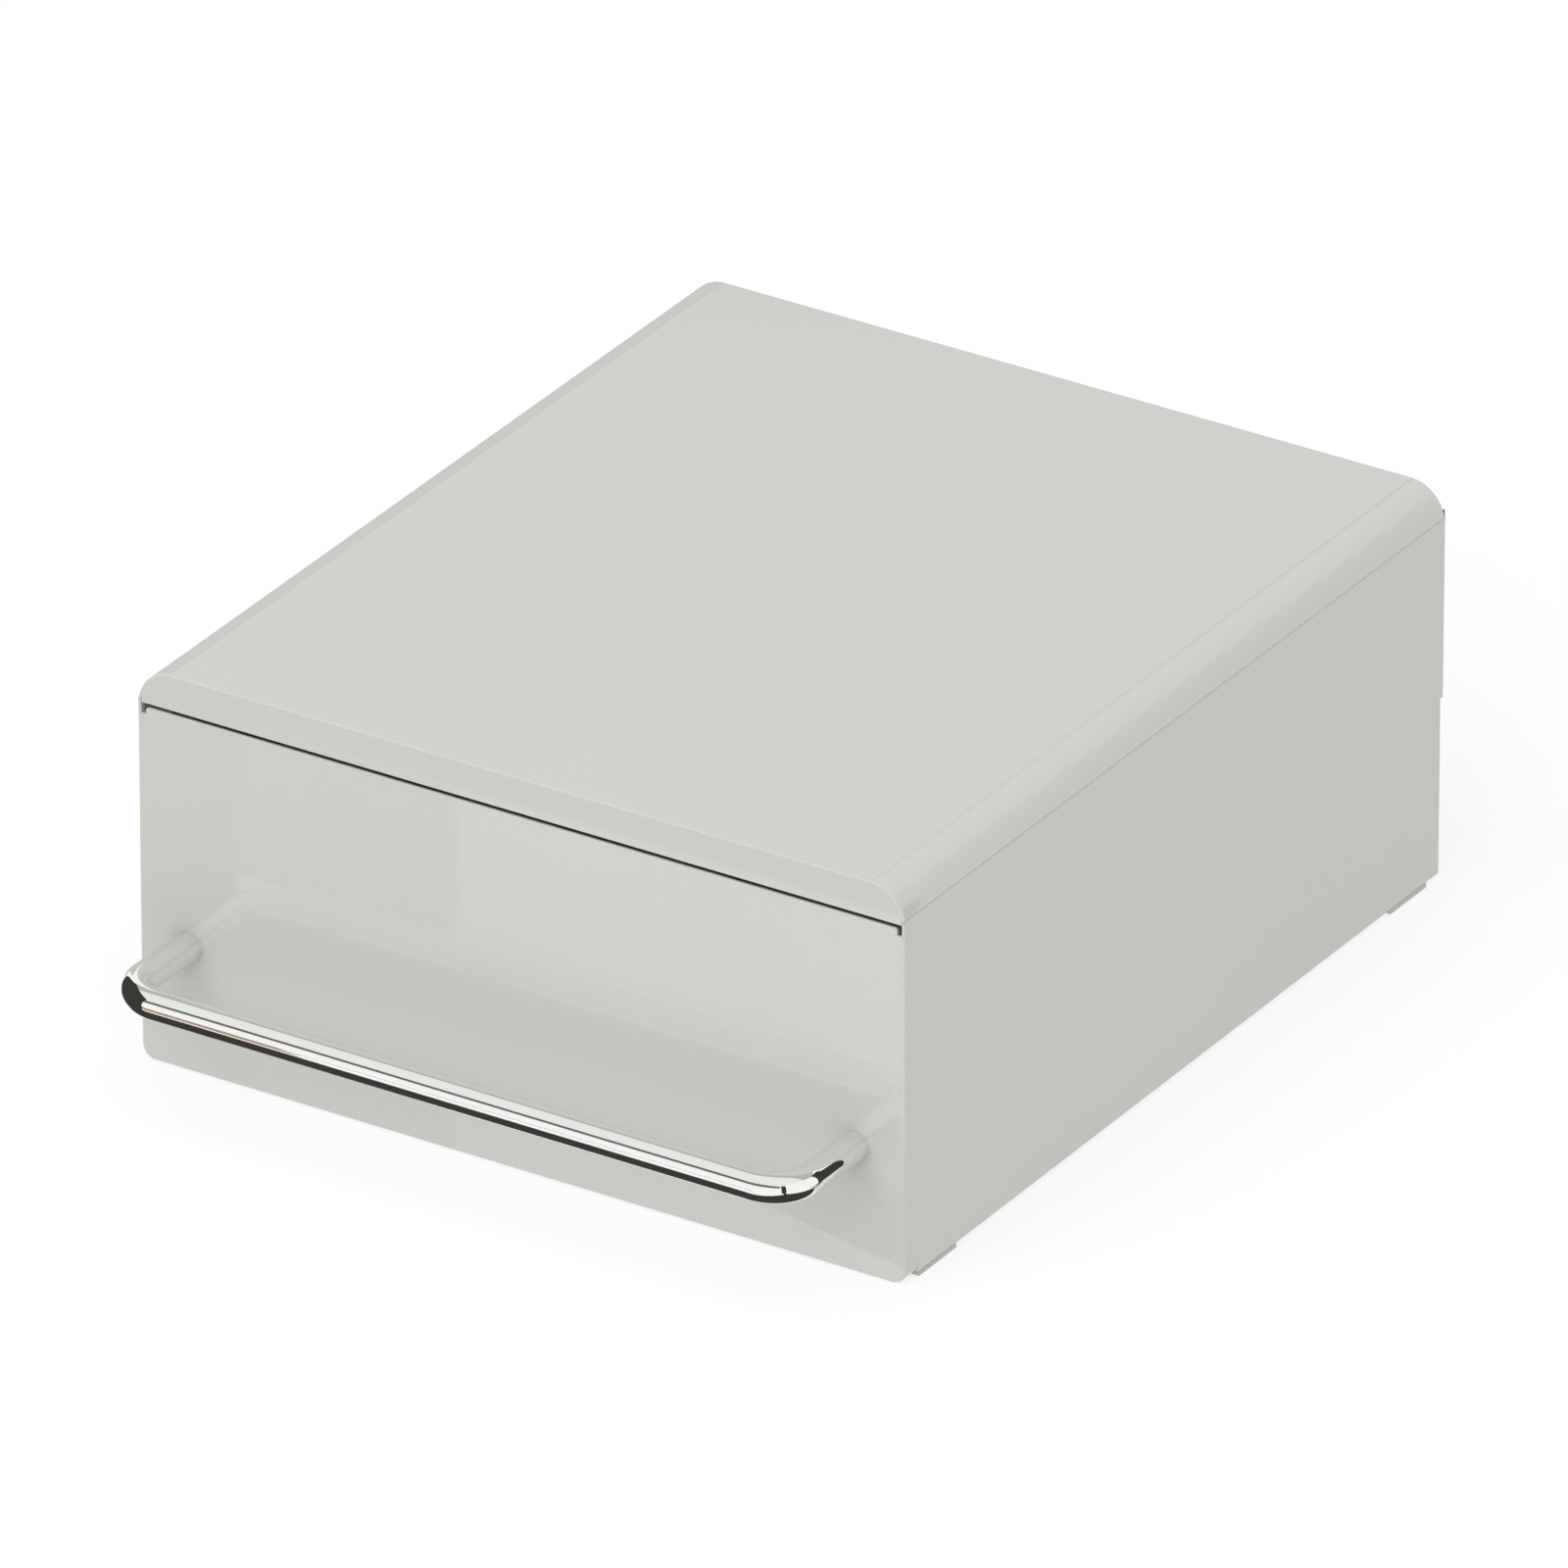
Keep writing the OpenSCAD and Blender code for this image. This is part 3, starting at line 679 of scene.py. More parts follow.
@dataclass(frozen=True)
class RibRow(Fitting):
    """A row of straight ribs, from the middle of the first one."""

    count: int
    first_x: float
    first_y: float
    middle_z: float
    step_x: float
    step_y: float
    size_x: float
    size_y: float
    size_z: float

    def draw(self, canvas: ShapeCanvas) -> Tree:
        """Draws one rib and repeats it along a line of points.

        Args:
            canvas: The canvas of the shape.

        Returns:
            The finished tree.
        """
        count, *rest = canvas.sizes
        first, step, size = (canvas.vector(*part) for part in (rest[:3], rest[3:5], rest[5:]))
        return canvas.finish(canvas.row(canvas.box(size), count, first, step), repeated=False)

    def solid(self) -> Solid:
        """The ribs as a solid, to be worked into a panel.

        Returns:
            The solid.
        """
        made = Solid()
        made.bm.from_mesh(self.mesh([Mark()]))
        return made


@dataclass(frozen=True)
class PanScrew(Fitting):
    """A pan-head screw with a cross recess. Its head's seat lies on the mark, its shank points along the drive."""

    shank_radius: float = 1.25
    shank_length: float = 7.0
    head_radius: float = 2.9
    head_height: float = 2.2
    thread_pitch: float = 1.0
    thread_depth: float = 0.25
    tip_length: float = 1.2

    HEAD: ClassVar[tuple[Colour, ...]] = ((1.0, 1.0, 0.5, -0.5), (0.88, 1.0, 0.32, -0.82), (0.62, 0.88, 0.18, -1.0))
    RECESS: ClassVar[Place] = (1.16, 0.3, 1.1)
    POINT: ClassVar[float] = 0.35

    def draw(self, canvas: ShapeCanvas) -> Tree:
        """Draws the head, the shank with its thread, and the recess.

        HEAD has the lower and upper radius of each ring of the head as shares of its radius, and its depth and
        bottom as shares of its height. RECESS has the length, width and depth of the recess in the same way.

        Args:
            canvas: The canvas of the shape.

        Returns:
            The finished tree.
        """
        radius, length, head, height, pitch, depth, tip = canvas.sizes
        core, body = canvas.minus(radius, depth), canvas.minus(length, tip)
        shapes = [
            canvas.cone(*(canvas.times(size, share) for size, share in zip((head, head, height, height), ring)))
            for ring in self.HEAD
        ]
        shapes += [
            canvas.cone(core, core, canvas.plus(body, 0.3), -0.3, 24),
            canvas.cone(core, canvas.times(core, self.POINT), tip, body, 24),
        ]
        threaded = canvas.minus(body, 0.6)
        path = canvas.node("GeometryNodeCurveSpiral", {
            "Resolution": 20, "Rotations": canvas.sum("DIVIDE", threaded, pitch), "Start Radius": core,
            "End Radius": core, "Height": threaded,
        }).outputs[0]
        shapes.append(canvas.moved(canvas.swept(path, 4, depth), canvas.vector(z=0.4)))
        reach, width, sink = (canvas.times(size, share) for size, share in zip((head, head, height), self.RECESS))
        middle = canvas.vector(z=canvas.times(height, -1.0))
        slots = [canvas.box(canvas.vector(*cross, sink), middle) for cross in ((reach, width), (width, reach))]
        return canvas.finish(canvas.cut(canvas.joined(*shapes), *slots), repeated=True)


@dataclass(frozen=True)
class Washer(Fitting):
    """A flat washer, which lies on its mark and is as thick as its drive goes."""

    outer_radius: float = 4.5
    bore_radius: float = 2.15
    thickness: float = 0.8

    def draw(self, canvas: ShapeCanvas) -> Tree:
        """Draws the disc and its bore.

        Args:
            canvas: The canvas of the shape.

        Returns:
            The finished tree.
        """
        outer, bore, thick = canvas.sizes
        half = canvas.times(thick, 0.5)
        tool = canvas.cylinder(bore, canvas.times(thick, 3.0), half, 48)
        return canvas.finish(canvas.cut(canvas.cylinder(outer, thick, half, 64), tool), repeated=True)


@dataclass(frozen=True)
class StopPad(Fitting):
    """A soft buffer: a round pad with a plug, whose seat lies on the mark."""

    pad_radius: float = 4.5
    pad_height: float = 4.8
    plug_radius: float = 2.5
    plug_length: float = 2.4
    dish_radius: float = 2.4

    def draw(self, canvas: ShapeCanvas) -> Tree:
        """Draws the pad with a dish in its face, and the plug.

        Args:
            canvas: The canvas of the shape.

        Returns:
            The finished tree.
        """
        radius, height, plug, length, dish = canvas.sizes
        pad = canvas.cylinder(radius, height, canvas.times(height, -0.5), 48)
        stem = canvas.cone(plug, plug, canvas.plus(length, 0.5), -0.5)
        hollow = canvas.cylinder(dish, 0.8, canvas.times(height, -1.0), 32)
        return canvas.finish(canvas.cut(canvas.joined(pad, stem), hollow), repeated=True)


@dataclass(frozen=True)
class FootPad(Fitting):
    """A soft foot with two plugs on its back, and fine grooves across its sole. The mark is the middle of its sole."""

    width: float = 22.0
    length: float = 17.0
    height: float = 1.4
    plug_radius: float = 2.6
    plug_height: float = 1.9
    plug_spacing: float = 9.0
    groove_count: int = 5
    groove_depth: float = 0.3
    groove_width: float = 0.8
    groove_margin: float = 3.0

    def draw(self, canvas: ShapeCanvas) -> Tree:
        """Draws the pad, the plugs and the grooves.

        Args:
            canvas: The canvas of the shape.

        Returns:
            The finished tree.
        """
        width, length, height, plug, rise, spacing, count, depth, groove_width, margin = canvas.sizes
        pad = canvas.box(canvas.vector(width, length, height), canvas.vector(z=canvas.times(height, 0.5)))
        plug = canvas.cone(plug, plug, canvas.plus(rise, 0.5), canvas.minus(height, 0.5), 32)
        plugs = canvas.row(plug, 2, canvas.vector(y=canvas.times(spacing, -0.5)), canvas.vector(y=spacing))
        step = canvas.sum("DIVIDE", length, canvas.plus(count, 1.0))
        start = canvas.vector(y=canvas.minus(step, canvas.times(length, 0.5)))
        groove = canvas.box(canvas.vector(canvas.minus(width, margin), groove_width, canvas.times(depth, 2.0)))
        grooves = canvas.row(groove, count, start, canvas.vector(y=step))
        return canvas.finish(canvas.cut(canvas.joined(pad, plugs), grooves), repeated=True)


@dataclass(frozen=True)
class BentRod(Fitting):
    """The handle's rod: one line with two bends, swept with a round section, and a blind bore in each leg."""

    half_span: float = 96.0
    face_y: float = -108.75
    reach: float = 30.0
    height: float = 35.4
    bend_radius: float = 10.0
    rod_radius: float = 4.0
    bore_radius: float = 2.0
    bore_depth: float = 6.2

    def draw(self, canvas: ShapeCanvas) -> Tree:
        """Draws the bent line, sweeps it and bores the legs.

        Args:
            canvas: The canvas of the shape.

        Returns:
            The finished tree.
        """
        half, face, reach, level, bend, radius, bore, depth = canvas.sizes
        line = canvas.node("GeometryNodeMeshLine", {"Count": 4}).outputs[0]
        from_middle = canvas.minus(canvas.node("GeometryNodeInputIndex").outputs[0], 1.5)
        inner = canvas.sum("LESS_THAN", canvas.sum("ABSOLUTE", from_middle), 1.0)
        corners = canvas.vector(
            canvas.times(half, canvas.sum("SIGN", from_middle)), canvas.minus(face, canvas.times(reach, inner)), level
        )
        line = canvas.node("GeometryNodeSetPosition", {"Geometry": line, "Position": corners}).outputs[0]
        path = canvas.node("GeometryNodeMeshToCurve", {0: line}).outputs[0]
        fillet = {"Curve": path, "Count": 24, "Radius": bend}
        path = canvas.node("GeometryNodeFilletCurve", fillet, mode="POLY").outputs[0]
        tool = canvas.moved(
            canvas.cylinder(bore, canvas.times(depth, 2.0), 0.0, 32), (0.0, 0.0, 0.0), (math.pi / 2, 0.0, 0.0)
        )
        start = canvas.vector(canvas.times(half, -1.0), face, level)
        bores = canvas.row(tool, 2, start, canvas.vector(x=canvas.times(half, 2.0)))
        return canvas.finish(canvas.cut(canvas.swept(path, 64, radius), bores), repeated=False)


# ----------------------------------------------------------------------------------------------------- effects


class Effect(Enum):
    """Surface effects that several finishes share, each a shader node group."""

    GRAIN = "mould_grain"
    TONE = "flow_tone"
    MARKS = "handling_marks"
    DUST = "resting_dust"


class EffectCanvas(Canvas):
    """A shader node group under construction."""

    def __init__(self, effect: Effect, inputs: dict[str, float | Colour], output: str) -> None:
        """Makes the group.

        Args:
            effect: The effect.
            inputs: The named inputs, with their usual values.
            output: The name of what it puts out, a colour if it has the name of one that goes in.
        """
        super().__init__(bpy.data.node_groups.new(effect.value, "ShaderNodeTree"))
        kinds = {True: "NodeSocketColor", False: "NodeSocketFloat"}
        for name, value in inputs.items():
            kind = kinds[isinstance(value, tuple)]
            self.tree.interface.new_socket(name, in_out="INPUT", socket_type=kind).default_value = value
        kind = kinds[isinstance(inputs.get(output), tuple)]
        self.tree.interface.new_socket(output, in_out="OUTPUT", socket_type=kind)
        inlet = self.node("NodeGroupInput")
        self.inputs = [inlet.outputs[name] for name in inputs]
        self.place = self.node("ShaderNodeTexCoord").outputs["Object"]

    def noise(self, scale: object, detail: float, place: object = None, roughness: float = 0.5) -> Socket:
        """Noise from 0 to 1 over the surface."""
        inputs = {"Vector": place or self.place, "Scale": scale, "Detail": detail, "Roughness": roughness}
        return self.node("ShaderNodeTexNoise", inputs).outputs[0]

    def spread(self, value: Socket, low: object, high: object, start: float = 0.25, end: float = 0.75) -> Socket:
        """A value from start to end, mapped to a range from low to high."""
        inputs = {"Value": value, "From Min": start, "From Max": end, "To Min": low, "To Max": high}
        return self.node("ShaderNodeMapRange", inputs).outputs[0]

    def put_out(self, value: Socket) -> Tree:
        """Ends the group with what it puts out."""
        self.node("NodeGroupOutput", {0: value})
        return self.tree


def effect_group(effect: Effect) -> Tree:
    """The node group of an effect, built once.

    Args:
        effect: The effect.

    Returns:
        Its group.
    """
    known = bpy.data.node_groups.get(effect.value)
    if known:
        return known
    if effect is Effect.GRAIN:
        canvas = EffectCanvas(effect, {"Scale": 2500.0, "Waviness": 0.3}, "Height")
        scale, waviness = canvas.inputs
        broad = canvas.noise(canvas.times(scale, 0.05), 1.0)
        return canvas.put_out(canvas.plus(canvas.noise(scale, 3.0, roughness=0.6), canvas.times(broad, waviness)))
    if effect is Effect.TONE:
        canvas = EffectCanvas(effect, {"Colour": (0.6, 0.6, 0.6, 1.0), "Spread": 0.01, "Scale": 12.0}, "Colour")
        colour, spread, scale = canvas.inputs
        drift, speck = canvas.noise(scale, 2.0), canvas.noise(canvas.times(scale, 60.0), 2.0)
        mixed = canvas.plus(canvas.times(drift, 0.8), canvas.times(speck, 0.2))
        level = canvas.spread(mixed, canvas.minus(1.0, spread), canvas.plus(1.0, spread))
        scaled = canvas.node("ShaderNodeVectorMath", {0: colour, "Scale": level}, operation="SCALE")
        return canvas.put_out(scaled.outputs[0])
    if effect is Effect.MARKS:
        canvas = EffectCanvas(effect, {"Roughness": 0.2, "Spread": 0.05, "Scale": 900.0}, "Roughness")
        roughness, spread, scale = canvas.inputs
        marks = []
        for turn, stretch in ((0.4, 0.04), (2.1, 0.03)):
            mapping = {"Vector": canvas.place, "Rotation": (turn, turn, turn), "Scale": (stretch, 1.0, stretch)}
            lines = canvas.node("ShaderNodeMapping", mapping).outputs[0]
            marks.append(canvas.spread(canvas.noise(scale, 2.0, lines), 0.0, 1.0, 0.62, 0.72))
        cloud = canvas.noise(canvas.times(scale, 0.03), 3.0)
        mixed = canvas.plus(canvas.times(canvas.sum("MAXIMUM", *marks), cloud), canvas.times(cloud, 0.5))
        return canvas.put_out(canvas.plus(roughness, canvas.times(mixed, spread)))
    canvas = EffectCanvas(effect, {"Amount": 0.05, "Scale": 1800.0}, "Mask")
    amount, scale = canvas.inputs
    normal = canvas.node("ShaderNodeNewGeometry").outputs["Normal"]
    settled = canvas.spread(canvas.node("ShaderNodeSeparateXYZ", {0: normal}).outputs[2], 0.0, 1.0, 0.5, 1.0)
    specks = canvas.spread(canvas.noise(scale, 2.0), 0.0, 1.0, 0.55, 0.75)
    film = canvas.plus(canvas.times(specks, 0.7), 0.3)
    return canvas.put_out(canvas.times(canvas.times(settled, film), amount))


class FinishCanvas(Canvas):
    """The nodes of one finish."""

    def __init__(self, name: str) -> None:
        """Makes the material.

        Args:
            name: The material's name.
        """
        self.material = bpy.data.materials.new(name)
        self.material.use_nodes = True
        self.material.node_tree.nodes.clear()
        super().__init__(self.material.node_tree)

    def effect(self, effect: Effect, **inputs: object) -> Socket:
        """What an effect puts out with these inputs, by their names."""
        return self.node("ShaderNodeGroup", inputs, node_tree=effect_group(effect)).outputs[0]

    def surface(self, shader: bpy.types.Node) -> bpy.types.Material:
        """Ends the material with its shader."""
        self.node("ShaderNodeOutputMaterial", {0: shader.outputs[0]})
        return self.material


@dataclass(frozen=True)
class Finish:
    """A finish: its colour and gloss, how far both drift over a surface, and the depth of its grain in metres."""

    title: str
    colour: Colour
    gloss_roughness: float
    mark_spread: float
    tone_spread: float
    grain_depth: float
    grain_scale: float
    tone_scale: ClassVar[float]
    mark_scale: ClassVar[float]
    waviness: ClassVar[float]

    def dress(self, canvas: FinishCanvas, tone: Socket, rough: Socket) -> dict[str, object]:
        """The shader's inputs apart from its normal, from the tone and the roughness of the surface."""
        return {"Base Color": tone, "Roughness": rough}

    def material(self) -> bpy.types.Material:
        """The finish's material, made once.

        Returns:
            The material.
        """
        known = bpy.data.materials.get(self.title)
        if known:
            return known
        canvas = FinishCanvas(self.title)
        tone = canvas.effect(Effect.TONE, Colour=self.colour, Spread=self.tone_spread, Scale=self.tone_scale)
        gloss = {"Roughness": self.gloss_roughness, "Spread": self.mark_spread, "Scale": self.mark_scale}
        inputs = self.dress(canvas, tone, canvas.effect(Effect.MARKS, **gloss))
        grain = canvas.effect(Effect.GRAIN, Scale=self.grain_scale, Waviness=self.waviness)
        relief = canvas.node("ShaderNodeBump", {"Height": grain, "Distance": self.grain_depth, "Strength": FULL})
        inputs["Normal"] = relief.outputs[0]
        return canvas.surface(canvas.node("ShaderNodeBsdfPrincipled", inputs))


@dataclass(frozen=True)
class MouldedPlastic(Finish):
    """Moulded plastic with a little dust on what faces up."""

    mark_spread: float = 0.04
    tone_spread: float = 0.008
    grain_depth: float = 0.000004
    grain_scale: float = 2500.0
    dust: float = 0.02
    dust_colour: Colour = (0.7, 0.69, 0.66, 1.0)
    refraction: float = 1.5
    tone_scale: ClassVar[float] = 14.0
    mark_scale: ClassVar[float] = 900.0
    waviness: ClassVar[float] = 0.3

    def dress(self, canvas: FinishCanvas, tone: Socket, rough: Socket) -> dict[str, object]:
        """The shader's inputs apart from its normal.

        Args:
            canvas: The canvas of the material.
            tone: The plastic's own tone.
            rough: Its own roughness.

        Returns:
            The inputs with the dust in them.
        """
        dust = canvas.effect(Effect.DUST, Amount=self.dust)
        dusted = canvas.node("ShaderNodeMix", {0: dust, 6: tone, 7: self.dust_colour}, data_type="RGBA").outputs[2]
        rough = canvas.plus(rough, canvas.times(dust, 0.5))
        return {"Base Color": dusted, "Roughness": rough, "IOR": self.refraction}


@dataclass(frozen=True)
class SoftRubber(Finish):
    """A soft matt elastomer."""

    gloss_roughness: float = 0.62
    mark_spread: float = 0.15
    tone_spread: float = 0.05
    grain_depth: float = 0.00004
    grain_scale: float = 3500.0
    tone_scale: ClassVar[float] = 40.0
    mark_scale: ClassVar[float] = 1500.0
    waviness: ClassVar[float] = 0.6


@dataclass(frozen=True)
class PlatedMetal(Finish):
    """Plated metal, from bright chrome to dull zinc."""

    grain_scale: float = 1200.0
    tone_scale: ClassVar[float] = 60.0
    mark_scale: ClassVar[float] = 1200.0
    waviness: ClassVar[float] = 0.5

    def dress(self, canvas: FinishCanvas, tone: Socket, rough: Socket) -> dict[str, object]:
        """The shader's inputs apart from its normal, for a metal."""
        return {"Base Color": tone, "Metallic": FULL, "Roughness": rough}


@dataclass(frozen=True)
class Finishes:
    """The finishes of the box."""

    shell: Finish = MouldedPlastic("satin_shell", (0.62, 0.612, 0.58, 1.0), 0.12)
    front: Finish = MouldedPlastic(
        "polished_front", (0.62, 0.614, 0.579, 1.0), 0.03, mark_spread=0.02, grain_depth=0.0000003,
    )
    inner: Finish = MouldedPlastic(
        "grained_inner", (0.6, 0.59, 0.55, 1.0), 0.38, mark_spread=0.12, tone_spread=0.015,
        grain_scale=3000.0, grain_depth=0.00003,
    )
    runner: Finish = MouldedPlastic(
        "slippery_runner", (0.76, 0.76, 0.73, 1.0), 0.3, mark_spread=0.15, grain_depth=0.00001,
    )
    foot: Finish = SoftRubber("soft_foot", (0.52, 0.51, 0.47, 1.0))
    chrome: Finish = PlatedMetal("bright_chrome", (0.89, 0.89, 0.875, 1.0), 0.02, 0.02, 0.005, 0.0000003)
    zinc: Finish = PlatedMetal("zinc_plate", (0.6, 0.61, 0.62, 1.0), 0.28, 0.2, 0.08, 0.00001)


# ------------------------------------------------------------------------------------------------------ pieces


@dataclass(frozen=True)
class Plan:
    """The planes, places and sizes that the box's pieces share."""

    half_width: float = 110.0
    front_y: float = -108.75
    back_y: float = 142.75
    height: float = 108.5
    wall: float = 2.4
    shoulder: float = 9.4
    shoulder_flatness: float = 1.09
    seam_z: float = 100.0
    fascia_bottom: float = 98.7
    front_thickness: float = 6.4
    face_thickness: float = 2.6
    tub_front_wall: float = 2.4
    shut_gap: float = 0.02
    foot_height: float = 1.4
    step_depth: float = 1.2
    step_height: float = 50.0
    slot_gap: float = 0.1
    panel_gap: float = 0.2
    merge: float = 0.5
    rib: float = 1.5
    ear_width: float = 0.8
    boss_radius: float = 3.2
    bore_radius: float = 1.3
    clearance_radius: float = 1.45
    screw_recess: float = 1.2
    bore_steps: int = 24
    cover_screw_x: float = 101.013
    back_screw_x: float = 104.65
    back_screw_zs: Flat = (15.2, 72.95)
    front_screw_x: float = 70.0
    front_screw_zs: Flat = (22.2, 79.0)
    leg_x: float = 96.0
    leg_z: float = 35.4
    peg_ys: Place = (-79.3, 19.425, 118.15)

    @property
    def inner_half(self) -> float:
        """Inner face of a side panel."""
        return self.half_width - self.wall

    @property
    def mouth_y(self) -> float:
        """Front plane of the casing's panels, behind the drawer front."""
        return self.front_y + self.front_thickness + self.shut_gap

    @property
    def rear_face(self) -> float:
        """Outer face of the back panel."""
        return self.back_y - self.step_depth - 0.4

    @property
    def rear_inner(self) -> float:
        """Inner face of the back panel."""
        return self.rear_face - self.wall

    @property
    def cover_screw_ys(self) -> Place:
        """Places of the cover's screws along a side."""
        return self.front_y + 26, (self.front_y + self.back_y) / 2, self.back_y - 26

    def shoulder_skin(self, distance: float, low: float, high: float, steps: int) -> list[Flat]:
        """The right shoulder's arc. It is a little flatter than a quarter circle, so its two ends show as fine lines.

        Args:
            distance: How far it lies inside the outer skin.
            low: The level that it starts at, if that is above its lower end.
            high: The level that it ends at, if that is below its upper end.
            steps: How many steps it has.

        Returns:
            The points, from the bottom to the top.
        """
        radius = self.shoulder * self.shoulder_flatness
        half_chord = self.shoulder / math.sqrt(2)
        back = (math.sqrt(radius**2 - half_chord**2) + half_chord) / math.sqrt(2)
        centre = (self.half_width - back, self.height - back)
        radius -= distance
        first = math.asin((back - self.shoulder) / radius)
        start = max(first, math.asin(max(0.0, low - centre[1]) / radius))
        end = min(math.pi / 2 - first, math.asin(min(1.0, (high - centre[1]) / radius)))
        return arc(centre, radius, math.degrees(start), math.degrees(end), steps)

    def section(self, distance: float, low: float) -> list[Flat]:
        """The casing's section with its round shoulders, anticlockwise.

        Args:
            distance: How far it lies inside the outer skin.
            low: Its lower edge.

        Returns:
            The outline.
        """
        right = self.shoulder_skin(distance, low, self.height, 14)
        if low < right[0][1] - 0.01:
            right.insert(0, (right[0][0], low))
        return right + [(-x, y) for x, y in reversed(right)]


PLAN = Plan()


@dataclass(frozen=True)
class Part:
    """A moulded part of the box. One that stands on both sides is worked on the right and mirrored."""

    plan: Plan = PLAN
    label: ClassVar[Label]
    edge_steps: ClassVar[int] = 2

    def worked(self) -> Mesh:
        """The part's solids, worked into each other."""
        raise NotImplementedError

    def edge_radius(self, middle: Vector) -> float:
        """Radius of the edge with this middle."""
        return 0.2

    def build(self, finish: Finish, side: Side | None = None) -> None:
        """Builds and dresses the part.

        Args:
            finish: The finish that it gets.
            side: The side that it stands on, if the box has two of it.
        """
        mesh = Bench.softened(self.worked(), self.edge_radius, self.edge_steps)
        if side is Side.LEFT:
            Bench.mirror(mesh)
        Bench.piece(mesh, finish, self.label.at(side.word) if side else self.label)


@dataclass(frozen=True)
class TopCover(Part):
    """The top cover: a shallow shell with round shoulders and the fascia over the drawer."""

    fascia_thickness: float = 2.6
    rim_radius: float = 0.4
    top_rim_radius: float = 0.6
    groove: Flat = (0.12, 0.04)
    crisp_radius: float = 0.2
    bore_top: float = 104.7
    cross_ribs: int = 4
    label: ClassVar[Label] = Label("cover", "top_cover", Body.CASING, Slot.SHELL)

    def worked(self) -> Mesh:
        """The shell and the fascia with the beam behind it, the ribs, the bosses and the fine grooves.

        Returns:
            The mesh.
        """
        p = self.plan
        ceiling, fascia_back = p.height - p.wall, p.front_y + self.fascia_thickness
        skin_start = p.front_y + self.top_rim_radius
        nose = [(p.half_width - p.ear_width - p.slot_gap, p.fascia_bottom)]
        nose += [(nose[0][0], p.seam_z)] + p.section(0.0, p.seam_z)
        nose += [(-x, z) for x, z in reversed(nose[:2])]
        shell = Solid.slab(p.section(0.0, p.seam_z), Along.Y, skin_start, p.back_y, round_end=self.rim_radius)
        front = Solid.slab(nose, Along.Y, p.front_y, fascia_back, self.rims(nose), steps=6)
        inside = p.section(p.wall, p.seam_z - 1)
        hollow = Solid.slab(inside, Along.Y, fascia_back, p.back_y - p.wall, round_end=0.6)
        half, top = p.inner_half - p.wall, ceiling + p.merge
        beam = Solid.block((-half, p.mouth_y - p.wall, p.fascia_bottom), (half, p.mouth_y - p.slot_gap, top))
        screws = on_both_sides(p.cover_screw_x, p.cover_screw_ys)
        bosses = [Solid.rod(Along.Z, place, p.seam_z, top, p.boss_radius) for place in screws]
        cuts = [
            Solid.rod(Along.Z, place, p.seam_z - 1, self.bore_top, p.bore_radius, p.bore_steps) for place in screws
        ]
        width, depth = self.groove
        edge = p.half_width - p.shoulder
        cuts += [
            Solid.block(
                (x - width / 2, skin_start, p.height - depth), (x + width / 2, p.back_y + 1, p.height + 1)
            )
            for x in (-edge, edge)
        ]
        return Bench.worked(
            shell, (Work.JOIN, [front]), (Work.CUT, [hollow]), (Work.JOIN, [beam, *self.ribs(), *bosses]),
            (Work.CUT, cuts),
        )

    def rims(self, outline: Sequence[Flat]) -> list[float]:
        """Radii of the front's rim: broad along the top, narrower round the shoulders, crisp over the drawer.

        Args:
            outline: The front's outline.

        Returns:
            The radius of each side of the outline.
        """
        p = self.plan
        radii = []
        for (x0, z0), (x1, z1) in zip(outline, [*outline[1:], outline[0]]):
            round_share = max(0.0, (abs(x0 + x1) / 2 - p.half_width + p.shoulder) / p.shoulder)
            along_skin = min(z0, z1) > p.seam_z - 0.01 and max(z0, z1) > p.seam_z + 0.01
            broad = self.top_rim_radius + (self.rim_radius - self.top_rim_radius) * min(1.0, round_share)
            radii.append(broad if along_skin else self.crisp_radius)
        return radii

    def ribs(self) -> list[Solid]:
        """The ribs under the cover, across it and along it.

        Returns:
            The rows of ribs.
        """
        p = self.plan
        low, high = p.seam_z + p.panel_gap, p.height - p.wall + p.merge
        middle, half = (low + high) / 2, p.cover_screw_x - p.boss_radius
        gap = (p.back_y - p.mouth_y) / (self.cross_ribs + 1)
        start, end = p.mouth_y - p.wall, p.rear_inner - p.panel_gap
        rows = [
            RibRow(self.cross_ribs, 0.0, p.mouth_y + gap, middle, 0.0, gap, 2 * half, p.rib, high - low),
            RibRow(2, -half / 3, (start + end) / 2, middle, 2 * half / 3, 0.0, p.rib, end - start, high - low),
        ]
        return [row.solid() for row in rows]

    def edge_radius(self, middle: Vector) -> float:
        """Radius of one of the cover's edges. The front's rims are round already.

        Args:
            middle: The edge's middle.

        Returns:
            The radius.
        """
        p = self.plan
        in_groove = middle.z > p.height - 0.2 and abs(abs(middle.x) - p.half_width + p.shoulder) < 0.3
        if in_groove or middle.y < p.front_y + self.top_rim_radius + 0.1:
            return 0.0
        outside = abs(middle.x) > p.inner_half or middle.y > p.rear_face
        return 0.15 if outside or middle.z < p.seam_z + 0.1 else 0.25


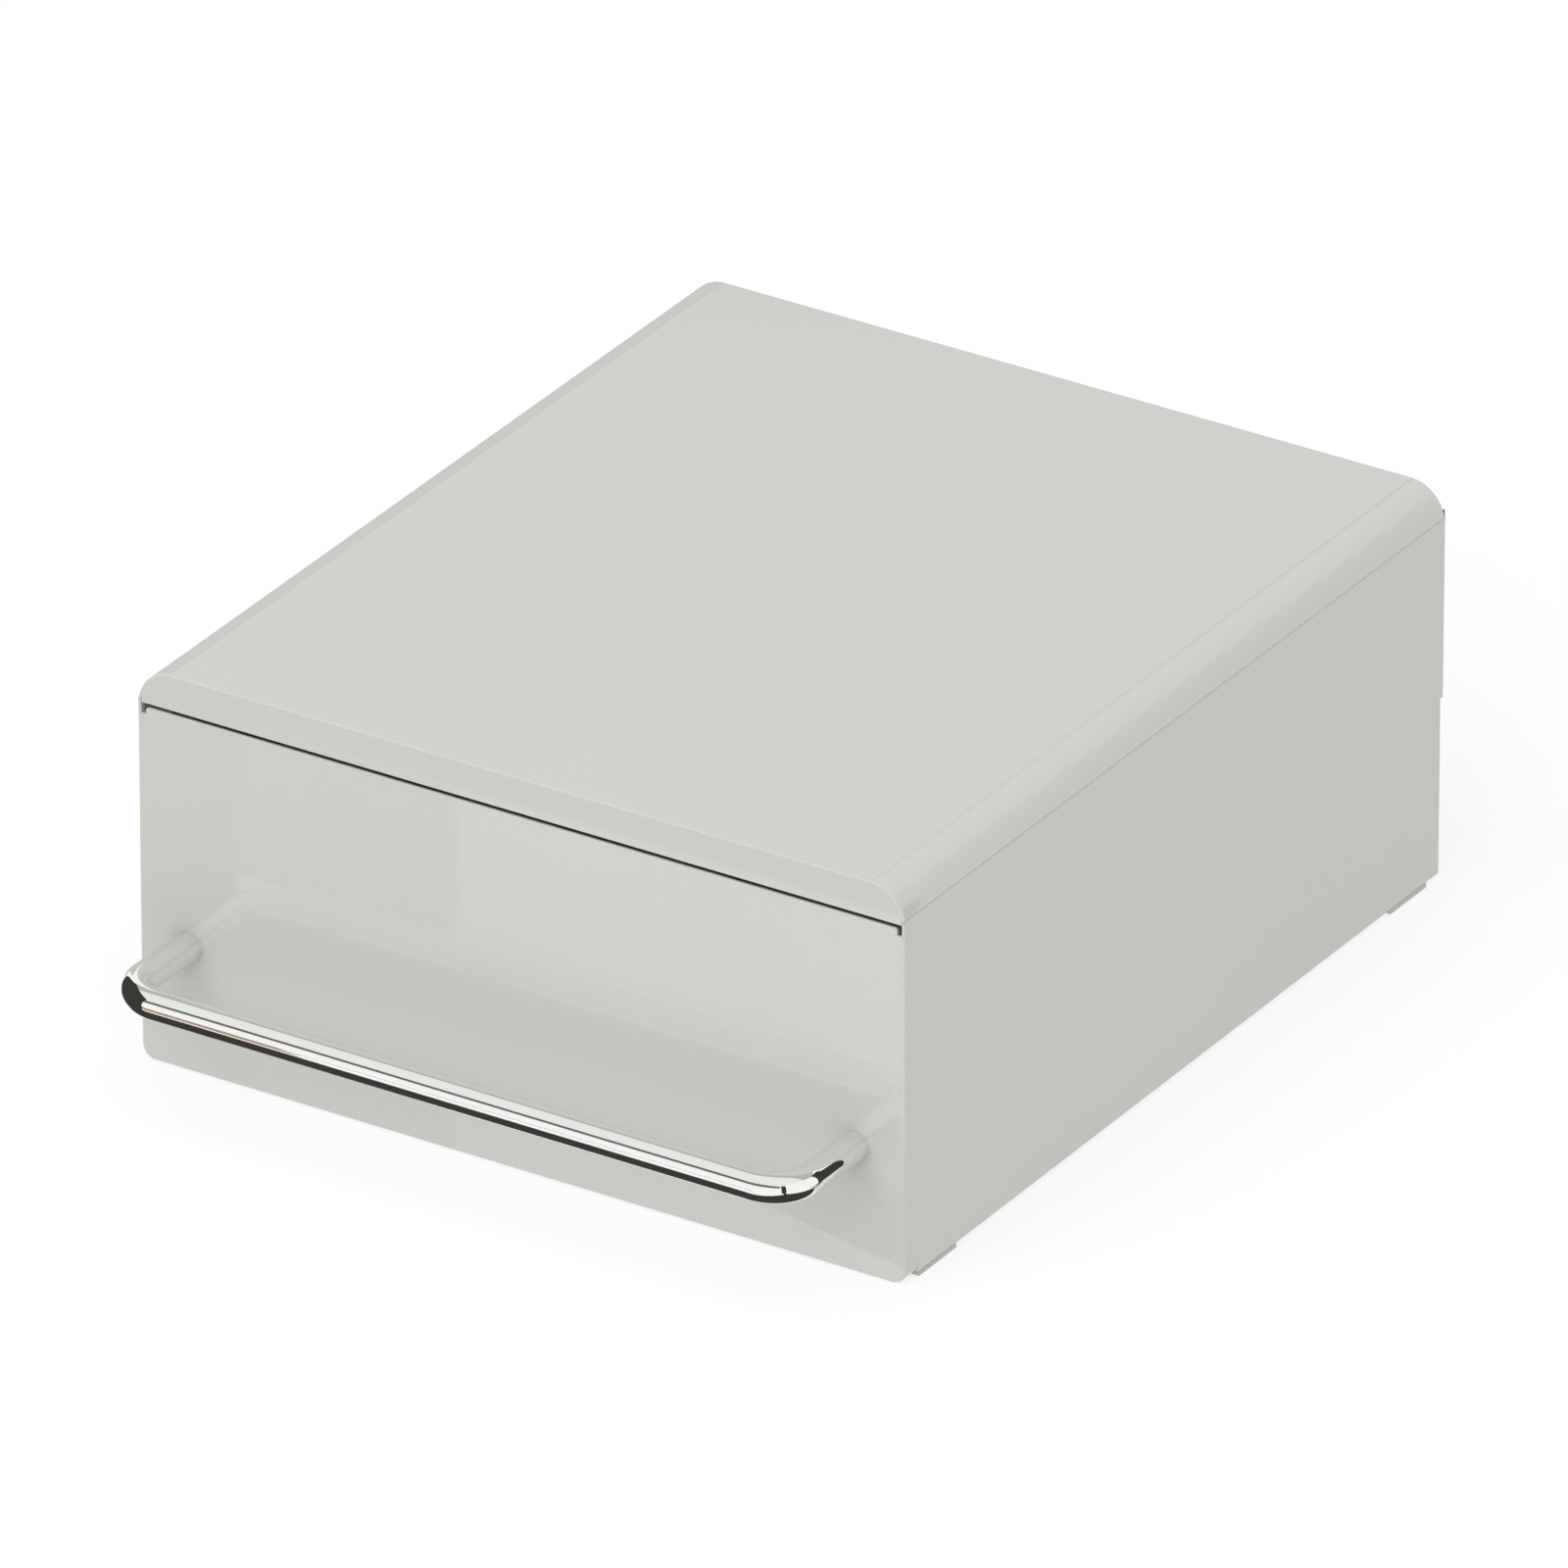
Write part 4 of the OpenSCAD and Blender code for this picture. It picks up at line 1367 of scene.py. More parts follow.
@dataclass(frozen=True)
class SidePanel(Part):
    """A side panel with all that is moulded on its inner face: shelf, ledge, flange, bosses, seats and stop."""

    ear_bottom: float = 95.71
    shadow_depth: float = 0.25
    shadow_height: float = 0.18
    mouth_return: float = 3.3
    foot_width: float = 22.0
    shelf_thickness: float = 2.0
    ledge: Place = (4.0, 5.6, 7.0)
    flange_width: float = 11.6
    tongue: Place = (104.513, 105.913, 3.0)
    rail_seat: Place = (105.6, 86.0, 3.85)
    stop: tuple[Place, Flat] = ((99.0, -64.45, 91.4), (103.0, -60.45))
    peg_hole: Place = (104.6, 108.7, 2.05)
    plug_hole: Place = (0.4, 3.6, 2.65)
    plug_x: float = 99.0
    plug_ys: tuple[float, ...] = (-97.75, -88.75, 122.55, 131.55)
    label: ClassVar[Label] = Label("side", "side_panel", Body.CASING, Slot.SHELL)

    def worked(self) -> Mesh:
        """The plate, with what is added to it and what is cut away."""
        plate = Solid.slab(self.plate_outline(), Along.Y, self.plan.mouth_y, self.plan.back_y)
        return Bench.worked(plate, (Work.JOIN, self.added()), (Work.CUT, self.removed()))

    def plate_outline(self) -> list[Flat]:
        """The plate's section, up to the seam under the cover.

        Returns:
            The outline, anticlockwise.
        """
        p = self.plan
        skin = p.shoulder_skin(0.0, 0.0, p.seam_z, 3)
        return [(p.inner_half, p.foot_height), (p.half_width, p.foot_height), *skin, (p.inner_half, p.seam_z)]

    def added(self) -> list[Solid]:
        """What stands on the plate's inner face, and the ear at the front.

        Returns:
            The solids.
        """
        p = self.plan
        y0, y1, root = p.mouth_y, p.rear_inner - p.panel_gap, p.inner_half + p.merge
        flange_z = p.seam_z - p.wall
        width, ledge_low, ledge_high = self.ledge
        inner, outer, rise = self.tongue
        seat_x, seat_z, seat_radius = self.rail_seat
        stop_low, stop_high = self.stop
        shelf_x, shelf_z = p.half_width - self.foot_width, p.foot_height + self.shelf_thickness
        skin = [q for q in self.plate_outline()[2:-1] if q[1] <= p.seam_z]
        ear_x = p.half_width - p.ear_width
        ear = [(ear_x, self.ear_bottom), (p.half_width, self.ear_bottom), *skin, (ear_x, p.seam_z)]
        solids = [
            Solid.slab(ear, Along.Y, p.front_y, y0 + p.merge),
            Solid.block((p.inner_half - self.mouth_return, y0, ledge_high), (root, y0 + p.wall, p.seam_z)),
            Solid.block((shelf_x, y0, p.foot_height), (root, y1, shelf_z)),
            Solid.block((p.inner_half - width, y0, ledge_low), (root, y1, ledge_high)),
            Solid.block((p.inner_half - self.flange_width, y0, flange_z), (root, y1, p.seam_z)),
            Solid.block((inner, y0 + p.wall, flange_z), (outer, p.rear_inner - 2 * p.wall, p.seam_z + rise)),
            Solid.block(stop_low, (*stop_high, flange_z + p.merge)),
        ]
        for z in p.back_screw_zs:
            start, end = p.rear_inner - 11, p.rear_inner - p.slot_gap
            solids.append(Solid.rod(Along.Y, (p.back_screw_x, z), start, end, p.boss_radius))
        for y in p.peg_ys:
            solids.append(Solid.rod(Along.X, (y, seat_z), seat_x, p.inner_half + p.wall / 2, seat_radius))
        return solids

    def removed(self) -> list[Solid]:
        """The shadow line, the step in the rear edge, and the holes.

        Returns:
            The solids that are cut away.
        """
        p = self.plan
        outside, behind, rear = p.half_width + 1, p.back_y + 1, p.rear_inner
        shadow = (p.half_width - self.shadow_depth, p.front_y - 1, p.seam_z - self.shadow_height)
        step = (p.inner_half - 1, p.back_y - p.step_depth, 0.4)
        holes = [
            (Along.Z, (p.cover_screw_x, y), p.seam_z - 4, p.seam_z + 1, p.clearance_radius) for y in p.cover_screw_ys
        ]
        holes += [(Along.Y, (p.back_screw_x, z), rear - 10, rear + 1, p.bore_radius) for z in p.back_screw_zs]
        holes += [(Along.X, (y, self.rail_seat[1]), *self.peg_hole) for y in p.peg_ys]
        return [
            Solid.block(shadow, (outside, behind, p.seam_z + 1)),
            Solid.block(step, (outside, behind, p.step_height)),
            *(Solid.rod(*hole, p.bore_steps) for hole in holes),
            *(Solid.rod(Along.Z, (self.plug_x, y), *self.plug_hole) for y in self.plug_ys),
        ]

    def edge_radius(self, middle: Vector) -> float:
        """Radius of one of the panel's edges. Where it meets the drawer front and the cover it stays crisp.

        Args:
            middle: The edge's middle.

        Returns:
            The radius.
        """
        p = self.plan
        if middle.x < p.half_width - 0.9:
            return 0.2
        if middle.z > p.seam_z - 1.0:
            return 0.04
        if middle.y < p.mouth_y + 0.3:
            return 0.12 if middle.y < p.mouth_y - 0.1 else 0.0
        return 0.35


@dataclass(frozen=True)
class BackPanel(Part):
    """The back panel: a plate with a tongue behind the cover, screw holes with flat recesses, and two buffers."""

    tongue_size: Flat = (1.2, 3.0)
    recess_radius: float = 3.1
    plug_radius: float = 2.55
    buffer_place: Flat = (60.0, 49.6)
    label: ClassVar[Label] = Label("back", "back_panel", Body.CASING, Slot.SHELL)

    def worked(self) -> Mesh:
        """The plate and its tongue, with the holes for the screws and the buffers.

        Returns:
            The mesh.
        """
        p = self.plan
        rear, face = p.rear_inner, p.rear_face
        half, tongue_half = p.inner_half - p.panel_gap, p.half_width - p.shoulder - p.wall
        thickness, rise = self.tongue_size
        plate = Solid.block((-half, rear, p.foot_height), (half, face, p.seam_z - p.panel_gap))
        tongue = Solid.block((-tongue_half, rear, p.seam_z - p.wall), (tongue_half, rear + thickness, p.seam_z + rise))
        holes = []
        for place in on_both_sides(p.back_screw_x, p.back_screw_zs):
            holes.append(Solid.rod(Along.Y, place, rear - 1, face + 1, p.clearance_radius, p.bore_steps))
            holes.append(Solid.rod(Along.Y, place, face - p.screw_recess, face + 2, self.recess_radius, 40))
        for place in on_both_sides(self.buffer_place[0], self.buffer_place[1:]):
            holes.append(Solid.rod(Along.Y, place, rear - 1, face + 1, self.plug_radius))
        return Bench.worked(plate, (Work.JOIN, [tongue]), (Work.CUT, holes))

    def buffers(self, finish: Finish) -> None:
        """Builds the two soft buffers that the tub meets.

        Args:
            finish: The finish that they get.
        """
        x, z = self.buffer_place
        label = Label("buffer_pad", "buffer", Body.CASING, Slot.FOOT)
        for side in Side:
            mark = Mark((side.value * x, self.plan.rear_inner, z), (0.0, 1.0, 0.0))
            StopPad().dress(label.at(side.word), [mark], finish, 0.3)


@dataclass(frozen=True)
class BasePanel(Part):
    """The base panel: a plate in the side panels' grooves, with a lattice of ribs under it."""

    plate_z: Flat = (3.5, 5.5)
    beam_top: float = 7.0
    beam_thickness: float = 2.4
    rib_half: float = 87.8
    long_ribs: int = 5
    cross_ribs: int = 4
    label: ClassVar[Label] = Label("base", "base_panel", Body.CASING, Slot.INNER)

    def worked(self) -> Mesh:
        """The plate, the beam at its front and the ribs.

        Returns:
            The mesh.
        """
        p = self.plan
        half, rib_half = p.inner_half - p.panel_gap, self.rib_half
        start, end = p.mouth_y + p.panel_gap, p.rear_inner - p.panel_gap
        plate = Solid.block((-half, start, self.plate_z[0]), (half, end, self.plate_z[1]))
        beam = Solid.block((-rib_half, start, p.foot_height), (rib_half, start + self.beam_thickness, self.beam_top))
        low, high = p.foot_height + p.panel_gap, self.plate_z[1] - p.merge
        middle, height = (low + high) / 2, high - low
        gap, spacing = (end - start) / (self.cross_ribs + 1), 2 * rib_half / self.long_ribs
        first, length = -(self.long_ribs - 1) / 2 * spacing, end - start - 0.6
        rows = [
            RibRow(self.long_ribs, first, (start + end) / 2, middle, spacing, 0.0, p.rib, length, height),
            RibRow(self.cross_ribs, 0.0, start + gap, middle, 0.0, gap, 2 * rib_half, p.rib, height),
        ]
        return Bench.worked(plate, (Work.JOIN, [beam, *(row.solid() for row in rows)]))


@dataclass(frozen=True)
class Rail(Part):
    """A runner: a rail under the tub's flange with a guide lip, held by three pegs."""

    rail: tuple[float, float, float, float] = (99.0, 105.6, 84.15, 87.85)
    lip: Flat = (103.6, 91.85)
    end_gap: float = 0.6
    peg_radius: float = 2.0
    label: ClassVar[Label] = Label("rail", "runner", Body.CASING, Slot.RUNNER)
    edge_steps: ClassVar[int] = 3

    def worked(self) -> Mesh:
        """The bar, the lip and the pegs.

        Returns:
            The mesh.
        """
        p = self.plan
        inner, outer, low, high = self.rail
        y0, y1 = p.mouth_y + p.wall + self.end_gap, p.rear_inner - self.end_gap
        bar = Solid.block((inner, y0, low), (outer, y1, high))
        lip = Solid.block((self.lip[0], y0, low), (outer, y1, self.lip[1]))
        middle = (low + high) / 2
        pegs = [Solid.rod(Along.X, (y, middle), outer - 1, outer + 3, self.peg_radius) for y in p.peg_ys]
        return Bench.worked(bar, (Work.JOIN, [lip, *pegs]))

    def edge_radius(self, middle: Vector) -> float:
        """Radius of the edge with this middle."""
        return 0.3


@dataclass(frozen=True)
class Feet:
    """The four soft feet under the side panels."""

    plan: Plan = PLAN
    pad: FootPad = FootPad()
    starts: tuple[tuple[str, float], ...] = (("front", -101.75), ("rear", 118.55))
    label: ClassVar[Label] = Label("pad", "foot", Body.CASING, Slot.FOOT)

    def build(self, finish: Finish) -> None:
        """Builds and dresses the feet.

        Args:
            finish: The finish that it gets.
        """
        x = self.plan.half_width - self.pad.width / 2
        for side in Side:
            for end, y in self.starts:
                mark = Mark((side.value * x, y + self.pad.length / 2, 0.0))
                self.pad.dress(self.label.at(f"{end}_{side.word}"), [mark], finish, self.edge_radius)

    def edge_radius(self, middle: Vector) -> float:
        """Radius of one of a foot's edges: the sole's rim is rounder than its grooves."""
        return 0.1 if middle.z > self.pad.height + 0.1 or 0.01 < middle.z < self.pad.height - 0.01 else 0.25


@dataclass(frozen=True)
class Screws:
    """The screws that hold the cover, the back panel and the drawer front."""

    plan: Plan = PLAN
    back_length: float = 10.0
    front_length: float = 6.0

    def hold_cover(self, finish: Finish) -> None:
        """The screws under the cover, driven up through the side panels' flanges.

        Args:
            finish: The finish that they get.
        """
        p = self.plan
        places = on_both_sides(p.cover_screw_x, p.cover_screw_ys)
        label = Label("cover_screws", "top_cover_screws", Body.CASING, Slot.ZINC)
        PanScrew().dress(label, [Mark((x, y, p.seam_z - p.wall)) for x, y in places], finish)

    def hold_upright(self, finish: Finish, label: Label, places: Sequence[Flat], seat: float, length: float) -> None:
        """Screws that are driven forwards from a seat, at places across the box."""
        marks = [Mark((x, seat, z), (0.0, -1.0, 0.0)) for x, z in places]
        PanScrew(shank_length=length).dress(label, marks, finish)

    def hold_back(self, finish: Finish) -> None:
        """The back panel's screws, in their recesses.

        Args:
            finish: The finish that they get.
        """
        p, label = self.plan, Label("back_screws", "back_panel_screws", Body.CASING, Slot.ZINC)
        seat = p.rear_face - p.screw_recess
        self.hold_upright(finish, label, on_both_sides(p.back_screw_x, p.back_screw_zs), seat, self.back_length)

    def hold_front(self, finish: Finish) -> None:
        """The drawer front's screws, driven from inside the tub.

        Args:
            finish: The finish that they get.
        """
        p, label = self.plan, Label("front_screws", "drawer_front_screws", Body.DRAWER, Slot.ZINC)
        seat = p.front_y + p.front_thickness + p.tub_front_wall
        self.hold_upright(finish, label, on_both_sides(p.front_screw_x, p.front_screw_zs), seat, self.front_length)


@dataclass(frozen=True)
class DrawerTub(Part):
    """The drawer's tub: an open box with a sliding flange along each side and skids under it."""

    half: float = 98.0
    wall: float = 2.0
    low: float = 8.2
    high: float = 91.0
    rear_y: float = 133.75
    corner: float = 8.0
    corner_steps: int = 10
    floor_radius: float = 2.4
    flange: Flat = (103.0, 88.0)
    tab_top: float = 95.0
    tab_length: float = 4.0
    skid: Place = (1.5, 0.8, 1.0)
    label: ClassVar[Label] = Label("tub", "drawer_tub", Body.DRAWER, Slot.INNER)
    edge_steps: ClassVar[int] = 3

    def worked(self) -> Mesh:
        """The box with its flanges and skids, its hollow and the holes in its front wall.

        Returns:
            The mesh.
        """
        p = self.plan
        y0 = p.front_y + p.front_thickness
        inner_y, floor = y0 + p.tub_front_wall, self.low + self.wall
        outer = rounded_outline(self.half, y0, self.rear_y, self.corner, self.corner_steps)
        inner = rounded_outline(
            self.half - self.wall, inner_y, self.rear_y - self.wall, self.corner - self.wall, self.corner_steps
        )
        body = Solid.slab(outer, Along.Z, self.low, self.high, round_start=0.8)
        hollow = Solid.slab(inner, Along.Z, floor, self.high + 5, round_start=self.floor_radius, steps=6)
        added = [Solid.block((-self.half, y0, self.low), (self.half, inner_y, self.high))]
        skid_half, below, above = self.skid
        for side in Side:
            added += self.flange_solids(side, y0)
            x = side.value * self.half / 2
            added.append(Solid.block(
                (x - skid_half, y0 + self.corner, self.low - below),
                (x + skid_half, self.rear_y - self.corner, self.low + above),
            ))
        holes = [
            Solid.rod(Along.Y, place, y0 - 1, inner_y + 1, p.clearance_radius, p.bore_steps)
            for place in on_both_sides(p.front_screw_x, p.front_screw_zs)
        ]
        return Bench.worked(body, (Work.JOIN, added), (Work.CUT, [hollow, *holes]))

    def flange_solids(self, side: Side, y0: float) -> list[Solid]:
        """The flange of one side, and the tab that ends the drawer's travel.

        Args:
            side: The side.
            y0: The tub's front plane.

        Returns:
            The solids.
        """
        reach, low = self.flange
        bend, end = self.rear_y - self.corner, self.rear_y
        blocks = [
            ((self.half - self.wall / 2, reach), (y0, bend + 1), (low, self.high)),
            ((self.half - self.corner, reach), (bend, end), (low, self.high)),
            ((self.half + 1, reach - 0.01), (end - self.tab_length, end - 0.01), (low + 1, self.tab_top)),
        ]
        solids = []
        for xs, ys, zs in blocks:
            near, far = sorted(side.value * x for x in xs)
            solids.append(Solid.block((near, ys[0], zs[0]), (far, ys[1], zs[1])))
        return solids

    def edge_radius(self, middle: Vector) -> float:
        """Radius of one of the tub's edges: the rim is the roundest, and the tabs stay crisp.

        Args:
            middle: The edge's middle.

        Returns:
            The radius.
        """
        if middle.y > self.rear_y - self.tab_length - 0.1 and middle.z > self.flange[1] - 0.1:
            return 0.0
        if middle.z > self.high - 0.1 and abs(middle.x) < self.half + 0.5:
            return 0.6
        return 0.3 if middle.z > self.low + 0.5 else 0.2


@dataclass(frozen=True)
class DrawerFront(Part):
    """The drawer front: a glossy face, a wall round its back, ribs and bosses."""

    low: float = 0.4
    high: float = 97.6
    notch_z: float = 95.7
    tongue_half: float = 107.8
    corner: float = 3.5
    notch_radius: float = 0.8
    face_radius: float = 0.9
    crisp_radius: float = 0.2
    cavity: Place = (105.6, 4.35, 92.0)
    lip: Flat = (0.7, 3.0)
    rib_count: int = 5
    rib_gap: float = 0.6
    bore_depth: float = 3.9
    leg_recess: float = 7.0
    leg_bore: float = 2.15
    label: ClassVar[Label] = Label("front", "drawer_front", Body.DRAWER, Slot.FRONT)

    def worked(self) -> Mesh:
        """The face and its rear wall, with the ribs, the bosses, the rebate along the top and the holes.

        Returns:
            The mesh.
        """
        p = self.plan
        rear, inner = p.front_y + p.front_thickness, p.front_y + p.face_thickness
        half, low, high = self.cavity
        outline = self.outline()
        rims = [self.crisp_radius if z > self.notch_z - 0.01 else self.face_radius for _, z in outline]
        body = Solid.slab(outline, Along.Y, p.front_y, rear, rims, steps=6)
        inside = rounded_outline(half, low, high, 1.5, 5)
        hollow = Solid.slab(inside, Along.Y, inner, rear + 1, round_start=0.5, steps=3)
        y0, y1, middle = inner - p.merge, rear - self.rib_gap, (low + high) / 2
        y, depth, step = (y0 + y1) / 2, y1 - y0, 2 * half / (self.rib_count + 1)
        rows = [
            RibRow(self.rib_count, step - half, y, middle, step, 0.0, p.rib, depth, high - low + 1),
            RibRow(1, 0.0, y, middle, 0.0, 0.0, 2 * half + 1, depth, p.rib),
        ]
        screws = on_both_sides(p.front_screw_x, p.front_screw_zs)
        bosses = [Solid.rod(Along.Y, place, y0, rear, p.boss_radius) for place in screws]
        thickness, height = self.lip
        reach = self.tongue_half + 1
        holes = [Solid.block((-reach, p.front_y + thickness, self.high - height), (reach, rear + 1, self.high + 1))]
        start = rear - self.bore_depth
        holes += [Solid.rod(Along.Y, place, start, rear + 1, p.bore_radius, p.bore_steps) for place in screws]
        for place in on_both_sides(p.leg_x, (p.leg_z,)):
            holes.append(Solid.rod(Along.Y, place, inner, rear + 1, self.leg_recess, 48))
            holes.append(Solid.rod(Along.Y, place, p.front_y - 1, inner + 1, self.leg_bore))
        added = [*(row.solid() for row in rows), *bosses]
        return Bench.worked(body, (Work.CUT, [hollow]), (Work.JOIN, added), (Work.CUT, holes))

    def outline(self) -> list[Flat]:
        """The face's outline: round lower corners, and a notch at each upper corner.

        Returns:
            The outline, anticlockwise.
        """
        half, radius, small = self.plan.half_width, self.corner, self.notch_radius
        right = arc((half - radius, self.low + radius), radius, -90, 0, 8)
        right += [(half, self.notch_z), (self.tongue_half, self.notch_z)]
        right += arc((self.tongue_half - small, self.high - small), small, 0, 90, 6)
        return right + [(-x, z) for x, z in reversed(right)]

    def edge_radius(self, middle: Vector) -> float:
        """Radius of one of the front's edges. Its rear rim stays crisp, where it closes on the side panels.

        Args:
            middle: The edge's middle.

        Returns:
            The radius.
        """
        p = self.plan
        at_rear = middle.y > p.front_y + p.front_thickness - 0.05
        if middle.y < p.front_y + self.face_radius or (at_rear and abs(middle.x) > p.half_width - 0.05):
            return 0.0
        near_rim = middle.z < self.low + self.corner or middle.z > self.notch_z - 0.1
        return 0.15 if at_rear and near_rim else 0.12


@dataclass(frozen=True)
class Handle:
    """The handle: one bent chrome rod, held from behind by two screws with washers."""

    plan: Plan = PLAN
    washer: Washer = Washer()
    screw: PanScrew = PanScrew(1.95, 9.0, 3.8, 2.4, 0.8, 0.25, 0.8)

    def build(self, chrome: Finish, zinc: Finish) -> None:
        """Builds and dresses the rod, the washers and the screws.

        Args:
            chrome: Finish of the rod.
            zinc: Finish of the washers and screws.
        """
        p = self.plan
        rod, rings, bolts = (
            Label("handle", "handle_bar", Body.DRAWER, Slot.HANDLE),
            Label("handle_rings", "handle_washers", Body.DRAWER, Slot.ZINC),
            Label("handle_bolts", "handle_screws", Body.DRAWER, Slot.ZINC),
        )
        BentRod(half_span=p.leg_x, face_y=p.front_y, height=p.leg_z).dress(rod, [Mark()], chrome)
        seat, legs = p.front_y + p.face_thickness, on_both_sides(p.leg_x, (p.leg_z,))
        self.washer.dress(rings, [Mark((x, seat, z), (0.0, 1.0, 0.0)) for x, z in legs], zinc, 0.1, 2)
        back = seat + self.washer.thickness
        self.screw.dress(bolts, [Mark((x, back, z), (0.0, -1.0, 0.0)) for x, z in legs], zinc)


# ------------------------------------------------------------------------------------------------------ studio


class Reach(Enum):
    """The rays that see the studio's plain white surroundings rather than its lighting level."""

    CAMERA = "Is Camera Ray"
    GLOSSY = "Is Glossy Ray"
    TRANSMISSION = "Is Transmission Ray"


@dataclass(frozen=True)
class Card:
    """A glowing card that only glossy rays see: a painted reflection, which lights and shades nothing.

    Its corners are in millimetres, in order round it.
    """

    name: str
    tone: Colour
    corners: tuple[Place, ...]

    @classmethod
    def lying(cls, name: str, tone: Colour, level: float, *corners: Flat) -> "Card":
        """A level card, from the height that it lies at and its corners in plan."""
        return cls(name, tone, tuple((x, y, level) for x, y in corners))

    @classmethod
    def standing(cls, name: str, tone: Colour, seen_from: Place, turns: Flat, rises: Flat, distance: float) -> "Card":
        """A card that stands upright and fills a range of directions.

        Args:
            name: Its name.
            tone: Its tone.
            seen_from: The point that the directions start from.
            turns: Its two ends, in degrees from straight ahead of the box, positive to the right.
            rises: Its lower and upper edge, in degrees above the level.
            distance: How far off its ends are.

        Returns:
            The card.
        """
        x, y, z = seen_from
        ends = [(x + distance * math.sin(math.radians(t)), y - distance * math.cos(math.radians(t))) for t in turns]
        low, high = (z + distance * math.tan(math.radians(rise)) for rise in rises)
        return cls(name, tone, ((*ends[0], low), (*ends[1], low), (*ends[1], high), (*ends[0], high)))

    def build(self) -> None:
        """Builds the card and stages it."""
        mesh = bpy.data.meshes.new(self.name)
        mesh.from_pydata([Vector(c) * MM for c in self.corners], [], [tuple(range(len(self.corners)))])
        canvas = FinishCanvas(self.name)
        mesh.materials.append(canvas.surface(canvas.node("ShaderNodeEmission", {"Color": self.tone})))
        obj = bpy.data.objects.new(self.name, mesh)
        bpy.context.scene.collection.objects.link(obj)
        # Only glossy rays see the card: it paints its tone into the reflections of the chrome and the glossy plastic.
        obj.visible_camera = obj.visible_diffuse = obj.visible_transmission = obj.visible_shadow = False


@dataclass(frozen=True)
class Lamp:
    """A soft square lamp: its place and size in metres, where it points, and its power in watts."""

    name: str
    place: Place
    size: float
    power: float
    target: Place = (0.0, 0.0, 0.05)

    def build(self) -> None:
        """Hangs the lamp."""
        light = bpy.data.lights.new(self.name, "AREA")
        light.shape, light.size, light.energy = "SQUARE", self.size, self.power
        obj = bpy.data.objects.new(self.name, light)
        obj.location = self.place
        obj.rotation_euler = (Vector(self.target) - Vector(self.place)).to_track_quat("-Z", "Y").to_euler()
        obj.visible_glossy = False
        bpy.context.scene.collection.objects.link(obj)


